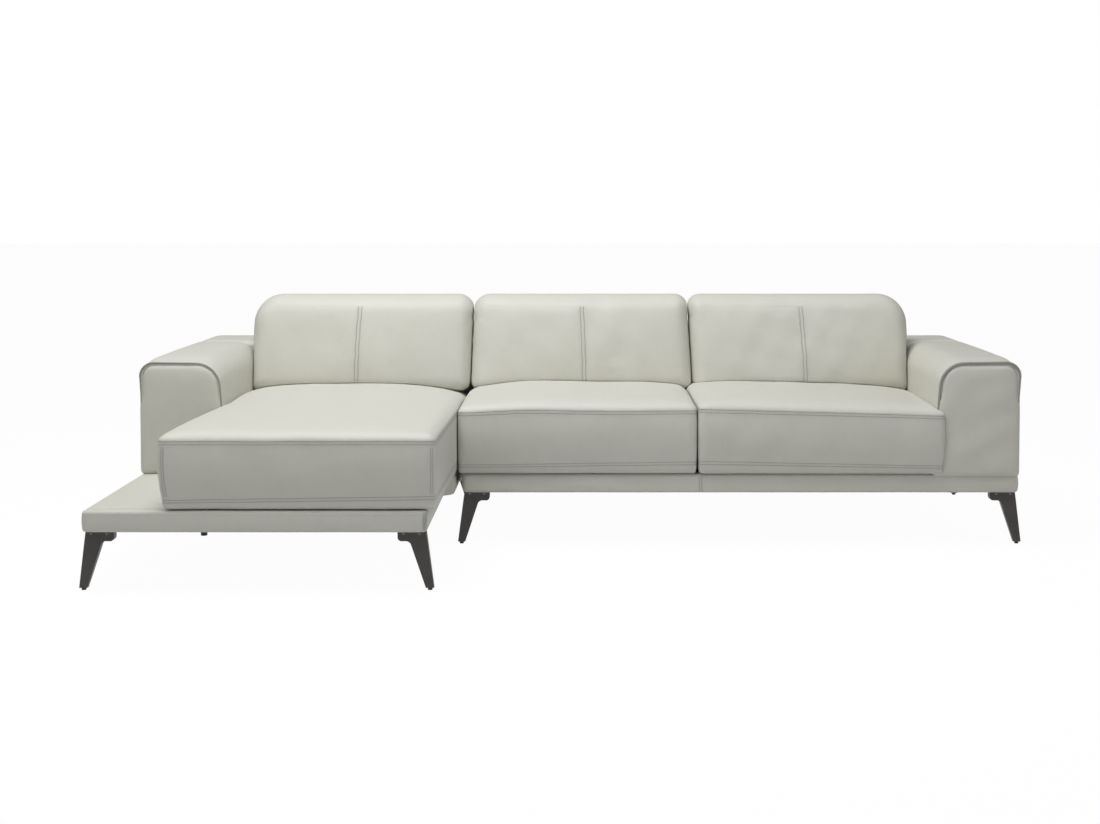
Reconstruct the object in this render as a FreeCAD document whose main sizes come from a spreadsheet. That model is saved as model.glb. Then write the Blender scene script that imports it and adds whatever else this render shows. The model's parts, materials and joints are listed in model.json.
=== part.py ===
import FreeCAD, Part
import math
import os
import Sketcher

# Corner sofa: a chaise module on the left and a two-seat module on the right, in millimetres.
# X runs to the right as someone facing the sofa sees it, Y runs to the back and Z runs up.
# The origin is on the floor, at the middle of the whole sofa's width and depth.
# Depths called "behind" are counted back from the front of the two-seat base.

SIZES = {
    # The whole sofa and its base
    "half_width": (1384, "half the width over the base"),
    "leg_height": (168, "floor to the underside of the base"),
    "base_thick": (60, "thickness of the upholstered base"),
    "two_seat_depth": (975, "front to back over the two-seat base"),
    "chaise_reach": (638, "how far the chaise base stands in front of the two-seat base"),
    "chaise_overhang": (8, "how far the chaise cushion overhangs its base at the front"),
    "base_shift": (3.5, "plane between the chaise and middle seats to the centre of the slot between the bases"),
    "base_slot": (21, "width of the slot between the two bases"),
    "chaise_step": (31, "how much narrower the base is where it stands in front"),
    "step_front": (42, "how far the wide part of the chaise base stands in front of the two-seat base"),
    "cover_wall": (5, "leather and wadding on the base"),
    "cover_lap": (60, "how far the base covers lap over and under the frame"),
    "cover_round": (7, "rounding of the base's long edges"),
    # Frame inside the base
    "fit_gap": (0.5, "clearance between a frame piece and its cover"),
    "rail_wide": (45, "width of a rail"),
    "block_side": (100, "side of a corner block"),
    "cross_wide": (40, "width of a cross rail"),
    "strap_wide": (60, "width of a webbing strap"),
    "strap_pitch": (130, "spacing of the webbing straps"),
    "strap_thick": (1.8, "thickness of a webbing strap"),
    "cloth_thick": (1.2, "thickness of the dust cloth"),
    "ledge_wide": (222, "width of the ledge beside the chaise cushion"),
    "ledge_thick": (9, "thickness of the ledge's padded panel"),
    "panel_seam": (0.6, "clearance round the ledge's panel"),
    # Arms
    "arm_top": (590, "top of the arms"),
    "arm_proud": (8, "how far the arms stand in front of the base"),
    "arm_depth": (702, "front of the base to the back of the arms"),
    "arm_wide_low": (276, "width of an arm at its foot in front"),
    "arm_wide_high": (256, "width of an arm below its rounding in front"),
    "arm_wide_rear": (234, "width of an arm at the rear"),
    "arm_outer_round": (45, "rounding of the arm's outer top edge"),
    "arm_inner_round": (79, "rounding of the arm's inner top edge"),
    "arm_wall": (12, "padding and leather on the arm"),
    "arm_board": (16, "thickness of the boards in the arm's frame"),
    "panel_thick": (8, "thickness of the arm's front panel"),
    "panel_hang": (8, "how far the right front panel hangs below the top of the base"),
    "piping_thick": (9, "diameter of the welt round the front panel"),
    "piping_end": (462, "height at which the welt ends on the arm's inner side"),
    # Back unit
    "back_top": (592, "top of the low back unit"),
    "back_round": (34, "rounding of the back unit's long top edges"),
    "back_corner": (58, "rounding of the back unit's outer corner"),
    "back_wall": (12, "padding and leather on the back unit"),
    "back_board": (18, "thickness of the boards in the back unit's frame"),
    "unit_gap": (1, "clearance between the arms, the back unit and the cushions"),
    # Seat cushions
    "seat_parting": (386, "left of the middle: plane between the chaise and middle seats"),
    "seat_seam": (369.5, "right of the middle: plane between the middle and right seats"),
    "seat_proud": (22, "how far the two-seat cushions stand in front of the base"),
    "seat_rear_gap": (12, "back of the seat cushions to the back unit"),
    "seat_edge": (424, "height of a seat cushion along its sides"),
    "seat_crown": (34, "how far the middle of a seat cushion rises over its sides"),
    "seat_round": (26, "rounding of a seat cushion's top edges"),
    "seat_foot": (18, "rounding of a seat cushion's bottom edges"),
    "seat_bulge": (5, "how far a seat cushion's sides swell"),
    "seat_nose": (20, "how far a seat cushion's front draws in at its edges"),
    "chaise_margin": (223, "side of the sofa to the chaise cushion's left side at the front"),
    "waist_margin": (263, "side of the sofa to the chaise cushion's left side at the arm's front"),
    "chaise_slim": (12, "how much further in the chaise cushion's right side lies at the front"),
    "lobe_margin": (236, "side of the sofa to the right seat cushion's side in front of the arm"),
    "soft_gap": (2, "clearance between two cushions"),
    "soft_wall": (4, "leather and wadding on a cushion"),
    # Back cushions
    "pillow_top": (760, "top of the back cushions"),
    "pillow_low": (428, "lowest point of the back cushions before the seats press them"),
    "pillow_foot_depth": (142, "foot of the back cushions' faces to the back unit"),
    "pillow_lean": (84, "how far a back cushion's face leans back over its height"),
    "pillow_over": (66, "how far a back cushion's head reaches over the back unit"),
    "pillow_swell": (20, "how far a back cushion's face swells"),
    "pillow_draw": (27, "how far a back cushion's face draws in at its ends"),
    "pillow_foot": (30, "rounding of a back cushion's bottom front edge"),
    "pillow_crest": (52, "height of the rounded head over the face"),
    "parting_shift": (6, "plane between the left two seats to the plane between their back cushions"),
    "seam_shift": (17.5, "plane between the right two seats to the plane between their back cushions"),
    "pillow_margin": (228, "side of the sofa to the outer ends of the back cushions"),
    "outer_corner": (95, "radius of the back cushions' outer top corners"),
    "inner_corner": (56, "radius of the back cushions' other top corners"),
    "channel_wide": (11, "width of the sewn channel down a back cushion"),
    "channel_deep": (2, "depth of the sewn channel"),
    # Legs and what they stand on
    "leg_inset": (42, "front of the base to the middle of a front leg"),
    "rear_inset": (46, "back of the base to the middle of a rear leg"),
    "leg_splay": (16, "how far a leg's foot stands outside the base"),
    "leg_start": (5, "how far a leg's outer edge starts inside the base"),
    "blade_top": (46, "width of the blade under its bracket"),
    "blade_foot": (23, "width of the blade at its foot"),
    "bracket_wide": (80, "width of the bracket over the blade"),
    "bracket_tall": (29, "height of the bracket"),
    "bracket_round": (11, "rounding of the bracket's inner end"),
    "throat_round": (15, "rounding between bracket and blade"),
    "leg_thick": (26, "front to back over the bracket"),
    "foot_thick": (16, "front to back over the blade's foot"),
    "plate_side": (66, "side of the leg's screw plate"),
    "plate_thick": (4, "thickness of the leg's screw plate"),
    "plate_inset": (12, "edge of the base to the screw plate"),
    "glide_tall": (6.5, "height of the glide under a leg"),
    "glide_radius": (6.5, "radius of the glide"),
    "screw_radius": (2.5, "radius of a leg screw's shank"),
    "screw_head": (4.6, "radius of a leg screw's head"),
    "screw_long": (38, "length of a leg screw under its head"),
    "screw_fit": (0.15, "clearance round a leg screw"),
    "screw_margin": (11, "edge of the screw plate to a screw's centre"),
    "post_radius": (15, "radius of a centre support"),
    "post_foot": (10.5, "radius of a centre support's foot"),
    "post_behind": (168, "front of the two-seat base to the centre supports"),
    "post_inset": (159, "side of the chaise base to a centre support"),
    # Connectors between the modules
    "hook_steel": (3, "thickness of the connectors' steel"),
    "hook_wide": (60, "width of a connector"),
    "hook_behind": (210, "front of the base to the first connector"),
    "hook_pitch": (520, "spacing of the two connectors"),
    "hook_tall": (22, "height of a connector's back plate"),
    "hook_top": (198, "top of the hooks"),
    "hook_clear": (3, "clearance round the hook's tongue"),
}

doc = FreeCAD.newDocument("corner_sofa")
sheet = doc.addObject("Spreadsheet::Sheet", "Sizes")
for row, (alias, (number, meaning)) in enumerate(SIZES.items(), start=1):
    sheet.set(f"A{row}", meaning)
    sheet.set(f"B{row}", str(number))
    sheet.setAlias(f"B{row}", alias)
doc.recompute()


class Size:
    """A length that carries its number and the formula on the sheet that gives it."""

    def __init__(self, number, formula):
        self.number = float(number)
        self.formula = formula

    @staticmethod
    def of(item):
        return item if isinstance(item, Size) else Size(item, f"({float(item)!r})")

    def __add__(self, other):
        other = Size.of(other)
        return Size(self.number + other.number, f"({self.formula} + {other.formula})")

    def __sub__(self, other):
        other = Size.of(other)
        return Size(self.number - other.number, f"({self.formula} - {other.formula})")

    def __mul__(self, other):
        other = Size.of(other)
        return Size(self.number * other.number, f"({self.formula} * {other.formula})")

    def __truediv__(self, other):
        other = Size.of(other)
        return Size(self.number / other.number, f"({self.formula} / {other.formula})")

    def __neg__(self):
        return Size(-self.number, f"(-1.0 * {self.formula})")

    def __radd__(self, other):
        return Size.of(other) + self

    def __rsub__(self, other):
        return Size.of(other) - self

    def __rmul__(self, other):
        return Size.of(other) * self

    def __float__(self):
        return self.number


class Sheet:
    """Gives each size on the sheet by its name, as S.leg_height."""

    def __getattr__(self, alias):
        return Size(sheet.get(alias), f"Sizes.{alias}")


S = Sheet()
NODES = []


def keep(item, name):
    """Name a finished piece and put it on the list of pieces to write."""
    item.Label = name
    NODES.append(item)
    return item


# Solids by formula


def block(name, low, high):
    """A block between two opposite corners."""
    item = doc.addObject("Part::Box", name)
    for side, start, end in zip(("Length", "Width", "Height"), low, high):
        item.setExpression(side, (end - start).formula)
    for axis, start in zip("xyz", low):
        item.setExpression(f"Placement.Base.{axis}", Size.of(start).formula)
    return item


def rod(name, foot, radius, height, top_radius=None):
    """An upright round rod, or a cone where a top radius is given."""
    kind = "Part::Cylinder" if top_radius is None else "Part::Cone"
    item = doc.addObject(kind, name)
    if top_radius is None:
        item.setExpression("Radius", radius.formula)
    else:
        item.setExpression("Radius1", radius.formula)
        item.setExpression("Radius2", top_radius.formula)
    item.setExpression("Height", height.formula)
    for axis, start in zip("xyz", foot):
        item.setExpression(f"Placement.Base.{axis}", Size.of(start).formula)
    return item


def group(name, items):
    """Several separate solids that make one piece on the list."""
    item = doc.addObject("Part::Compound", name)
    item.Links = items
    return item


def joined(name, items):
    """Solids fused into one."""
    item = doc.addObject("Part::MultiFuse", name)
    item.Shapes = items
    item.Refine = True
    return item


def less(name, base, tool):
    """One solid with another taken out of it."""
    item = doc.addObject("Part::Cut", name)
    item.Base = base
    item.Tool = tool
    return item


def softened(name, base, radius, corners):
    """A block with some edges rounded: each corner names the two sides whose edge is rounded."""
    doc.recompute()
    box = base.Shape.BoundBox
    sides = {
        "left": (0, box.XMin), "right": (0, box.XMax), "front": (1, box.YMin),
        "rear": (1, box.YMax), "bottom": (2, box.ZMin), "top": (2, box.ZMax),
    }
    wanted = []
    for index, edge in enumerate(base.Shape.Edges, start=1):
        middle = edge.CenterOfMass
        for pair in corners:
            if all(abs(middle[sides[side][0]] - sides[side][1]) < 0.01 for side in pair.split("_")):
                wanted.append((index, float(radius), float(radius)))
    item = doc.addObject("Part::Fillet", name)
    item.Base = base
    item.Edges = wanted
    return item


def formed(name, shape):
    """A piece whose shape is worked out from the sheet by the functions below."""
    item = doc.addObject("Part::Feature", name)
    item.Shape = shape
    return item


# Sketched bodies


def new_body(name):
    return doc.addObject("PartDesign::Body", name)


def profile(body, name, role, points):
    """A closed outline of straight lines on one of the body's origin planes, tied to the sheet."""
    sketch = body.newObject("Sketcher::SketchObject", name)
    plane = next(item for item in body.Origin.OriginFeatures if item.Role == role)
    sketch.AttachmentSupport = [(plane, "")]
    sketch.MapMode = "FlatFace"
    count = len(points)
    corners = [FreeCAD.Vector(float(u), float(v), 0) for u, v in points]
    for index in range(count):
        sketch.addGeometry(Part.LineSegment(corners[index], corners[(index + 1) % count]), False)
    for index in range(count):
        sketch.addConstraint(Sketcher.Constraint("Coincident", index, 2, (index + 1) % count, 1))
    for index, pair in enumerate(points):
        for kind, size in zip(("DistanceX", "DistanceY"), pair):
            size = Size.of(size)
            place = sketch.addConstraint(Sketcher.Constraint(kind, -1, 1, index, 1, size.number))
            sketch.setExpression(f"Constraints[{place}]", size.formula)
    return sketch


def padded(body, name, sketch, length, midplane=False, backwards=False):
    """The outline made solid."""
    pad = body.newObject("PartDesign::Pad", name)
    pad.Profile = sketch
    pad.setExpression("Length", length.formula)
    pad.Midplane = midplane
    pad.Reversed = backwards
    return pad


def rounded(body, name, feature, places, radius):
    """Round the edges along Y of a padded outline that lie at the given places in X and Z."""
    doc.recompute()
    names = []
    for index, edge in enumerate(feature.Shape.Edges, start=1):
        middle = edge.CenterOfMass
        for u, v in places:
            if math.hypot(middle.x - float(u), middle.z - float(v)) < 0.01 and abs(middle.y) < 0.01:
                names.append(f"Edge{index}")
    fillet = body.newObject("PartDesign::Fillet", name)
    fillet.Base = (feature, names)
    fillet.setExpression("Radius", radius.formula)
    return fillet


def placed(body, x, y, z):
    """Put a finished body in its place."""
    for axis, size in zip("xyz", (x, y, z)):
        body.setExpression(f"Placement.Base.{axis}", Size.of(size).formula)
    return body


# Places that several pieces share

front = (S.chaise_reach + S.chaise_overhang - S.two_seat_depth) / 2
base_top = S.leg_height + S.base_thick
rear = front + S.two_seat_depth
chaise_front = front - S.chaise_reach
inner_low = S.leg_height + S.cover_wall
inner_top = base_top - S.cover_wall
rail_low = inner_low + S.fit_gap
rail_top = inner_top - S.fit_gap - S.strap_thick * 2
base_parting = S.seat_parting - S.base_shift
chaise_right = -base_parting - S.base_slot / 2
two_seat_left = -base_parting + S.base_slot / 2
chaise_nose_right = chaise_right - S.chaise_step
step_place = front - S.step_front
arm_inner_low = float(S.half_width - S.arm_wide_low)
arm_inner_high = float(S.half_width - S.arm_wide_high)
arm_inner_rear = float(S.half_width - S.arm_wide_rear)
seat_rear = S.arm_depth - S.seat_rear_gap
seat_back = float(seat_rear)
pillow_front = float(S.arm_depth - S.pillow_foot_depth)

LINE = "line"
ARC = "arc"


def outline(plane, start, runs):
    """A closed wire: runs are lines to a point, or arcs through a middle point to a point."""
    at = float(start[0]), float(start[1])
    edges = []
    for kind, *points in runs:
        ends = [(float(u), float(v)) for u, v in points]
        if kind == LINE:
            edges.append(Part.LineSegment(plane(*at), plane(*ends[-1])).toShape())
        else:
            edges.append(Part.Arc(plane(*at), plane(*ends[0]), plane(*ends[1])).toShape())
        at = ends[-1]
    return Part.Wire(edges)


def across(y):
    """The upright plane that runs left to right at depth y."""
    return lambda u, v: FreeCAD.Vector(u, y, v)


def along(x):
    """The upright plane that runs front to back at x."""
    return lambda u, v: FreeCAD.Vector(x, u, v)


def lofted(wires):
    """A solid through closed wires, straight from each to the next."""
    return Part.makeLoft(wires, True, True)


def one_solid(shape):
    """The single solid of a shape that was trimmed; more or fewer is a fault."""
    if len(shape.Solids) != 1:
        raise RuntimeError(f"expected one solid and got {len(shape.Solids)}")
    return shape.Solids[0]


def quarter(depth, reach, place):
    """How far a rounded edge has drawn in at a place counted from its end: a quarter of an ellipse."""
    if place >= reach:
        return 0.0
    return depth * (1.0 - math.sqrt(1.0 - (1.0 - place / reach) ** 2))


def mid_arc(corner_u, corner_v, radius, sign_u, sign_v):
    """The middle point of a quarter arc in the corner that the two signs point to."""
    pull = radius * (1.0 - math.sqrt(0.5))
    return corner_u - sign_u * pull, corner_v - sign_v * pull


# Base: frame, webbing, covers and dust cloth


def base_frame(module, left, right, front_edge, cross_places):
    """Timber ladder frame inside the base's covers."""
    skin = S.cover_wall + S.fit_gap
    x0, x1 = left + skin, right - skin
    y0, y1 = front_edge + skin, rear - skin
    side = S.block_side
    blocks = []
    for index, (bx, by) in enumerate(((x0, y0), (x1 - side, y0), (x0, y1 - side), (x1 - side, y1 - side))):
        blocks.append(block(f"{module}_block_{index}", (bx, by, rail_low), (bx + side, by + side, rail_top)))
    for name, y in (("front", y0), ("rear", y1 - S.rail_wide)):
        rail = block(f"{module}_{name}_rail", (x0 + side, y, rail_low), (x1 - side, y + S.rail_wide, rail_top))
        keep(rail, f"{module}_{name}_rail")
    rails = []
    for index, x in enumerate((x0, x1 - S.rail_wide)):
        low = (x, y0 + side, rail_low)
        rails.append(block(f"{module}_side_rail_{index}", low, (x + S.rail_wide, y1 - side, rail_top)))
    keep(group(f"{module}_side_rails", rails), f"{module}_side_rails")
    crosses = []
    for index, y in enumerate(cross_places):
        low = (x0 + S.rail_wide, y - S.cross_wide / 2, rail_low)
        high = (x1 - S.rail_wide, y + S.cross_wide / 2, rail_top)
        crosses.append(block(f"{module}_cross_rail_{index}", low, high))
    keep(group(f"{module}_cross_rails", crosses), f"{module}_cross_rails")
    return blocks


def webbing(module, left, right, front_edge, back_edge):
    """Elastic straps in two layers over the rails, under the seat cushions."""
    skin = S.cover_lap + S.fit_gap
    x0, x1 = left + skin, right - skin
    y0, y1 = front_edge + skin, back_edge
    straps = []
    low = rail_top
    count = int((float(y1 - y0) - float(S.strap_wide)) // float(S.strap_pitch)) + 1
    for index in range(count):
        y = y0 + S.strap_pitch * index
        high = (x1, y + S.strap_wide, low + S.strap_thick)
        straps.append(block(f"{module}_strap_across_{index}", (x0, y, low), high))
    low = rail_top + S.strap_thick
    count = int((float(x1 - x0) - float(S.strap_wide)) // float(S.strap_pitch)) + 1
    for index in range(count):
        x = x0 + S.strap_pitch * index
        high = (x + S.strap_wide, y1, low + S.strap_thick)
        straps.append(block(f"{module}_strap_along_{index}", (x, y0, low), high))
    return group(f"{module}_webbing_straps", straps)


def channel_cover(name, low, high, open_sides, rounds):
    """A folded cover: a block hollowed out to the wall, open on the named sides."""
    x0, y0, x1, y1 = low[0], low[1], high[0], high[1]
    wall = S.cover_wall
    outer = block(f"{name}_outer", (x0, y0, S.leg_height), (x1, y1, base_top))
    if rounds:
        outer = softened(f"{name}_rounded", outer, S.cover_round, rounds)
    spare = S.cover_wall
    ix0 = x0 - spare if "left" in open_sides else x0 + wall
    ix1 = x1 + spare if "right" in open_sides else x1 - wall
    iy0 = y0 - spare if "front" in open_sides else y0 + wall
    iy1 = y1 + spare if "rear" in open_sides else y1 - wall
    inner = block(f"{name}_inner", (ix0, iy0, inner_low), (ix1, iy1, inner_top))
    return less(f"{name}_folded", outer, inner)


def dust_cloth(name, left, right, front_edge, holes):
    """Thin cloth between the covers' lower laps."""
    lap = S.cover_lap + S.fit_gap
    low = inner_low - S.cloth_thick
    cloth = block(f"{name}_sheet", (left + lap, front_edge + lap, low), (right - lap, rear - lap, inner_low))
    return less(f"{name}_cut", cloth, group(f"{name}_holes", holes))


# Legs, their glides and screws


def leg_body(name, side):
    """A flat splayed blade under a bracket, with its screw plate; side is -1 where it splays left."""
    outer_top = -S.leg_start
    outer_foot = S.leg_splay
    inner_foot = outer_foot - S.blade_foot
    under_bracket = S.leg_height - S.bracket_tall
    inner_top_edge = outer_top - S.blade_top
    bracket_end = outer_top - S.bracket_wide
    shape = [
        (outer_top, S.leg_height - S.plate_thick), (outer_foot, S.glide_tall), (inner_foot, S.glide_tall),
        (inner_top_edge, under_bracket), (bracket_end, under_bracket),
        (bracket_end, S.leg_height - S.plate_thick),
    ]
    points = [(u * side, v) for u, v in shape]
    body = new_body(name)
    front_view = profile(body, f"{name}_front_view", "XZ_Plane", points)
    pad = padded(body, f"{name}_blade", front_view, S.leg_thick, midplane=True)
    throat = rounded(body, f"{name}_throat", pad, [points[3]], S.throat_round)
    bend = rounded(body, f"{name}_bend", throat, [points[4]], S.bracket_round)
    # The blade thins towards its foot: two slim wedges come off, one from each face.
    half = S.leg_thick / 2
    thin = S.foot_thick / 2
    spare = S.leg_thick
    for index, sign in enumerate((-1, 1)):
        wedge = [
            (half * sign, under_bracket), (thin * sign, S.glide_tall), (thin * sign, S.glide_tall - spare),
            ((half + spare) * sign, S.glide_tall - spare), ((half + spare) * sign, under_bracket),
        ]
        side_view = profile(body, f"{name}_side_view_{index}", "YZ_Plane", wedge)
        cut = body.newObject("PartDesign::Pocket", f"{name}_thinning_{index}")
        cut.Profile = side_view
        cut.Type = 1
        cut.Midplane = True
        doc.recompute()
    before = bend.Shape.Volume
    if body.Tip.Shape.Volume > before - 1.0:
        raise RuntimeError(f"{name}: the blade was not thinned")
    return body


def leg_plate(name, x0, y0, screws):
    """The square screw plate on top of a leg, with its four holes."""
    plate = block(f"{name}_plate", (x0, y0, S.leg_height - S.plate_thick),
                  (x0 + S.plate_side, y0 + S.plate_side, S.leg_height))
    holes = []
    for index, (x, y) in enumerate(screws):
        foot = (x, y, S.leg_height - S.plate_thick * 2)
        holes.append(rod(f"{name}_plate_hole_{index}", foot, S.screw_radius + S.screw_fit, S.plate_thick * 3))
    return less(f"{name}_plate_drilled", plate, group(f"{name}_plate_holes", holes))


def leg(name, side, edge_x, mid_y):
    """One leg at a corner of the base, with its screws' places and its glide."""
    blade = placed(leg_body(f"{name}_body", side), edge_x, mid_y, 0)
    plate_x = edge_x - S.plate_inset - S.plate_side if side > 0 else edge_x + S.plate_inset
    plate_y = mid_y - S.plate_side / 2
    screws = []
    for dx in (S.screw_margin, S.plate_side - S.screw_margin):
        for dy in (S.screw_margin, S.plate_side - S.screw_margin):
            screws.append((plate_x + dx, plate_y + dy))
    plate = leg_plate(name, plate_x, plate_y, screws)
    whole = joined(f"{name}_whole", [blade, plate])
    glide_x = edge_x + (S.leg_splay - S.blade_foot / 2) * side
    glide = rod(f"{name}_glide", (glide_x, mid_y, 0), S.glide_radius, S.glide_tall)
    return whole, glide, screws


def screw(name, x, y):
    """A pan-head wood screw, from its head under the plate up into the corner block."""
    plate_low = S.leg_height - S.plate_thick
    head_tall = S.plate_thick * 0.7
    head = rod(f"{name}_head", (x, y, plate_low - head_tall), S.screw_head * 0.8, head_tall, S.screw_head)
    shank = rod(f"{name}_shank", (x, y, plate_low), S.screw_radius, S.screw_long)
    return joined(f"{name}_screw", [head, shank])


def screw_holes(name, screws):
    """Holes for the screws through covers and corner blocks."""
    holes = []
    for index, (x, y) in enumerate(screws):
        foot = (x, y, S.leg_height - S.plate_thick)
        long = S.screw_long + S.screw_fit * 4
        holes.append(rod(f"{name}_hole_{index}", foot, S.screw_radius + S.screw_fit, long))
    return group(f"{name}_holes", holes)


def base(module, left, right, front_edge, legs, cross_places, covers):
    """The frame, covers, legs, glides and screws of one module."""
    blocks = base_frame(module, left, right, front_edge, cross_places)
    glides = []
    all_screws = []
    rear_legs = []
    for name, side, edge_x, mid_y in legs:
        whole, glide, screws = leg(f"{module}_{name}", side, edge_x, mid_y)
        glides.append(glide)
        all_screws.extend(screws)
        if name.startswith("rear"):
            rear_legs.append(whole)
        else:
            keep(whole, f"{module}_{name}_leg")
    keep(group(f"{module}_rear_leg_pair", rear_legs), f"{module}_rear_legs")
    keep(group(f"{module}_glides", glides), f"{module}_leg_glides")
    keep(group(f"{module}_screws", [screw(f"{module}_{i}", x, y) for i, (x, y) in enumerate(all_screws)]),
         f"{module}_leg_screws")
    holes = screw_holes(module, all_screws)
    drilled = less(f"{module}_blocks_drilled", group(f"{module}_blocks", blocks), holes)
    keep(drilled, f"{module}_corner_blocks")
    for name, cover in covers.items():
        keep(less(f"{module}_{name}_drilled", cover, holes), f"{module}_base_{name}_cover")
    return holes


chaise_left = -S.half_width
two_seat_right = S.half_width
lap = S.cover_lap

ledge_right = chaise_left + S.ledge_wide
front_lap_end = chaise_front + lap
rear_lap_start = rear - lap

right_strip = chaise_nose_right - lap
right_nose = block("chaise_right_nose", (right_strip, front_lap_end, S.leg_height),
                   (chaise_nose_right, step_place, base_top))
right_wide = block("chaise_right_wide", (right_strip, step_place, S.leg_height),
                   (chaise_right, rear_lap_start, base_top))
right_nose_hollow = block("chaise_right_nose_hollow", (right_strip - lap, front_lap_end - lap, inner_low),
                          (chaise_nose_right - S.cover_wall, step_place + S.cover_wall * 2, inner_top))
right_wide_hollow = block("chaise_right_wide_hollow", (right_strip - lap, step_place + S.cover_wall, inner_low),
                          (chaise_right - S.cover_wall, rear_lap_start + lap, inner_top))
chaise_right_cover = less("chaise_right_folded", joined("chaise_right_outer", [right_nose, right_wide]),
                          joined("chaise_right_hollow", [right_nose_hollow, right_wide_hollow]))

chaise_covers = {
    "front": channel_cover("chaise_front", (chaise_left, chaise_front), (chaise_nose_right, front_lap_end),
                           ("rear",), ("front_top", "front_bottom")),
    "left": channel_cover("chaise_left", (chaise_left, front_lap_end), (chaise_left + lap, rear_lap_start),
                          ("front", "rear", "right"), ("left_bottom",)),
    "right": chaise_right_cover,
    "rear": channel_cover("chaise_rear", (chaise_left, rear_lap_start), (chaise_right, rear),
                          ("front",), ("rear_bottom",)),
}
two_seat_covers = {
    "front": channel_cover("two_seat_front", (two_seat_left, front), (two_seat_right, front + lap),
                           ("rear",), ("front_top", "front_bottom")),
    "left": channel_cover("two_seat_left", (two_seat_left, front + lap), (two_seat_left + lap, rear_lap_start),
                          ("front", "rear", "right"), ()),
    "right": channel_cover("two_seat_right", (two_seat_right - lap, front + lap),
                           (two_seat_right, rear_lap_start), ("front", "rear", "left"), ("right_bottom",)),
    "rear": channel_cover("two_seat_rear", (two_seat_left, rear_lap_start), (two_seat_right, rear),
                          ("front",), ("rear_bottom",)),
}

post_y = front + S.post_behind
front_leg_y = front + S.leg_inset
rear_leg_y = rear - S.rear_inset
chaise_screw_holes = base("chaise", chaise_left, chaise_nose_right, chaise_front, [
    ("front_left", -1, chaise_left, chaise_front + S.leg_inset),
    ("front_right", 1, chaise_nose_right, chaise_front + S.leg_inset),
    ("rear_left", -1, chaise_left, rear_leg_y),
    ("rear_right", 1, chaise_nose_right, rear_leg_y),
], [post_y, front + seat_rear - S.rail_wide], chaise_covers)
two_seat_screw_holes = base("two_seat", two_seat_left, two_seat_right, front, [
    ("front_left", -1, two_seat_left, front_leg_y),
    ("front_right", 1, two_seat_right, front_leg_y),
    ("rear_left", -1, two_seat_left, rear_leg_y),
    ("rear_right", 1, two_seat_right, rear_leg_y),
], [front + seat_rear / 2, front + seat_rear - S.rail_wide], two_seat_covers)

keep(webbing("chaise", ledge_right, chaise_nose_right, chaise_front, front + seat_rear),
     "chaise_seat_webbing")
keep(webbing("two_seat", two_seat_left, two_seat_right, front, front + seat_rear), "two_seat_webbing")

posts = []
post_holes = []
for index, x in enumerate((chaise_left + S.post_inset, chaise_nose_right - S.post_inset)):
    foot = (x, post_y, 0)
    posts.append(rod(f"post_{index}", foot, S.post_foot, rail_low, S.post_radius))
    post_holes.append(rod(f"post_hole_{index}", foot, S.post_radius + S.fit_gap, base_top))
keep(group("posts", posts), "chaise_centre_supports")
keep(dust_cloth("chaise_cloth", chaise_left, chaise_nose_right, chaise_front,
                post_holes + [chaise_screw_holes]), "chaise_dust_cover")
keep(dust_cloth("two_seat_cloth", two_seat_left, two_seat_right, front, [two_seat_screw_holes]),
     "two_seat_dust_cover")

ledge_seam = S.panel_seam
ledge_low = (chaise_left + lap + ledge_seam, front_lap_end + ledge_seam, base_top - S.ledge_thick)
ledge_high = (ledge_right, rear_lap_start - ledge_seam, base_top)

# Arms


def arm_section(side, y, depth_share, grow, foot):
    """The arm's outline at one depth; grow is positive where the outline is drawn in all round."""
    outer = float(S.half_width) - grow
    top = float(S.arm_top) - grow
    low = arm_inner_low + (arm_inner_rear - arm_inner_low) * depth_share + grow
    high = arm_inner_high + (arm_inner_rear - arm_inner_high) * depth_share + grow
    r_out = float(S.arm_outer_round) - grow
    r_in = float(S.arm_inner_round) - grow
    low += (high - low) * (foot - float(base_top)) / (top - r_in - float(base_top))
    runs = [
        (LINE, (side * outer, top - r_out)),
        (ARC, *[(side * u, v) for u, v in (mid_arc(outer, top, r_out, 1, 1), (outer - r_out, top))]),
        (LINE, (side * (high + r_in), top)),
        (ARC, *[(side * u, v) for u, v in (mid_arc(high, top, r_in, -1, 1), (high, top - r_in))]),
        (LINE, (side * low, foot)),
        (LINE, (side * outer, foot)),
    ]
    return outline(across(y), (side * outer, foot), runs)


def arm_form(side, start, end, grow, foot):
    """The arm's outer form between two depths behind the base's front, drawn in by grow."""
    depth = float(S.arm_depth)
    wires = []
    for behind in (start, end):
        wires.append(arm_section(side, float(front) + behind, behind / depth, grow, foot))
    return lofted(wires)


def arm(side, word, panel_foot):
    """Frame, padded cover, front panel and welt of one arm."""
    wall = float(S.arm_wall)
    board = float(S.arm_board)
    gap = float(S.fit_gap)
    end = float(S.arm_depth) - float(S.unit_gap)
    foot = float(base_top)
    below = foot - board * 2
    outer = arm_form(side, 0.0, end, 0.0, foot)
    hollow = arm_form(side, -wall, end + wall, wall, below)
    keep(formed(f"{word}_arm_skin", outer.cut(hollow)), f"{word}_arm_cover")
    frame = arm_form(side, gap, end, wall + gap, foot)
    void = arm_form(side, gap + board, end - board, wall + gap + board, below)
    keep(formed(f"{word}_arm_box", frame.cut(void)), f"{word}_arm_frame")
    proud = float(S.arm_proud)
    panel = arm_form(side, -proud, -proud + float(S.panel_thick), 0.0, float(panel_foot))
    keep(formed(f"{word}_arm_panel", panel), f"{word}_arm_front_panel")


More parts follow.
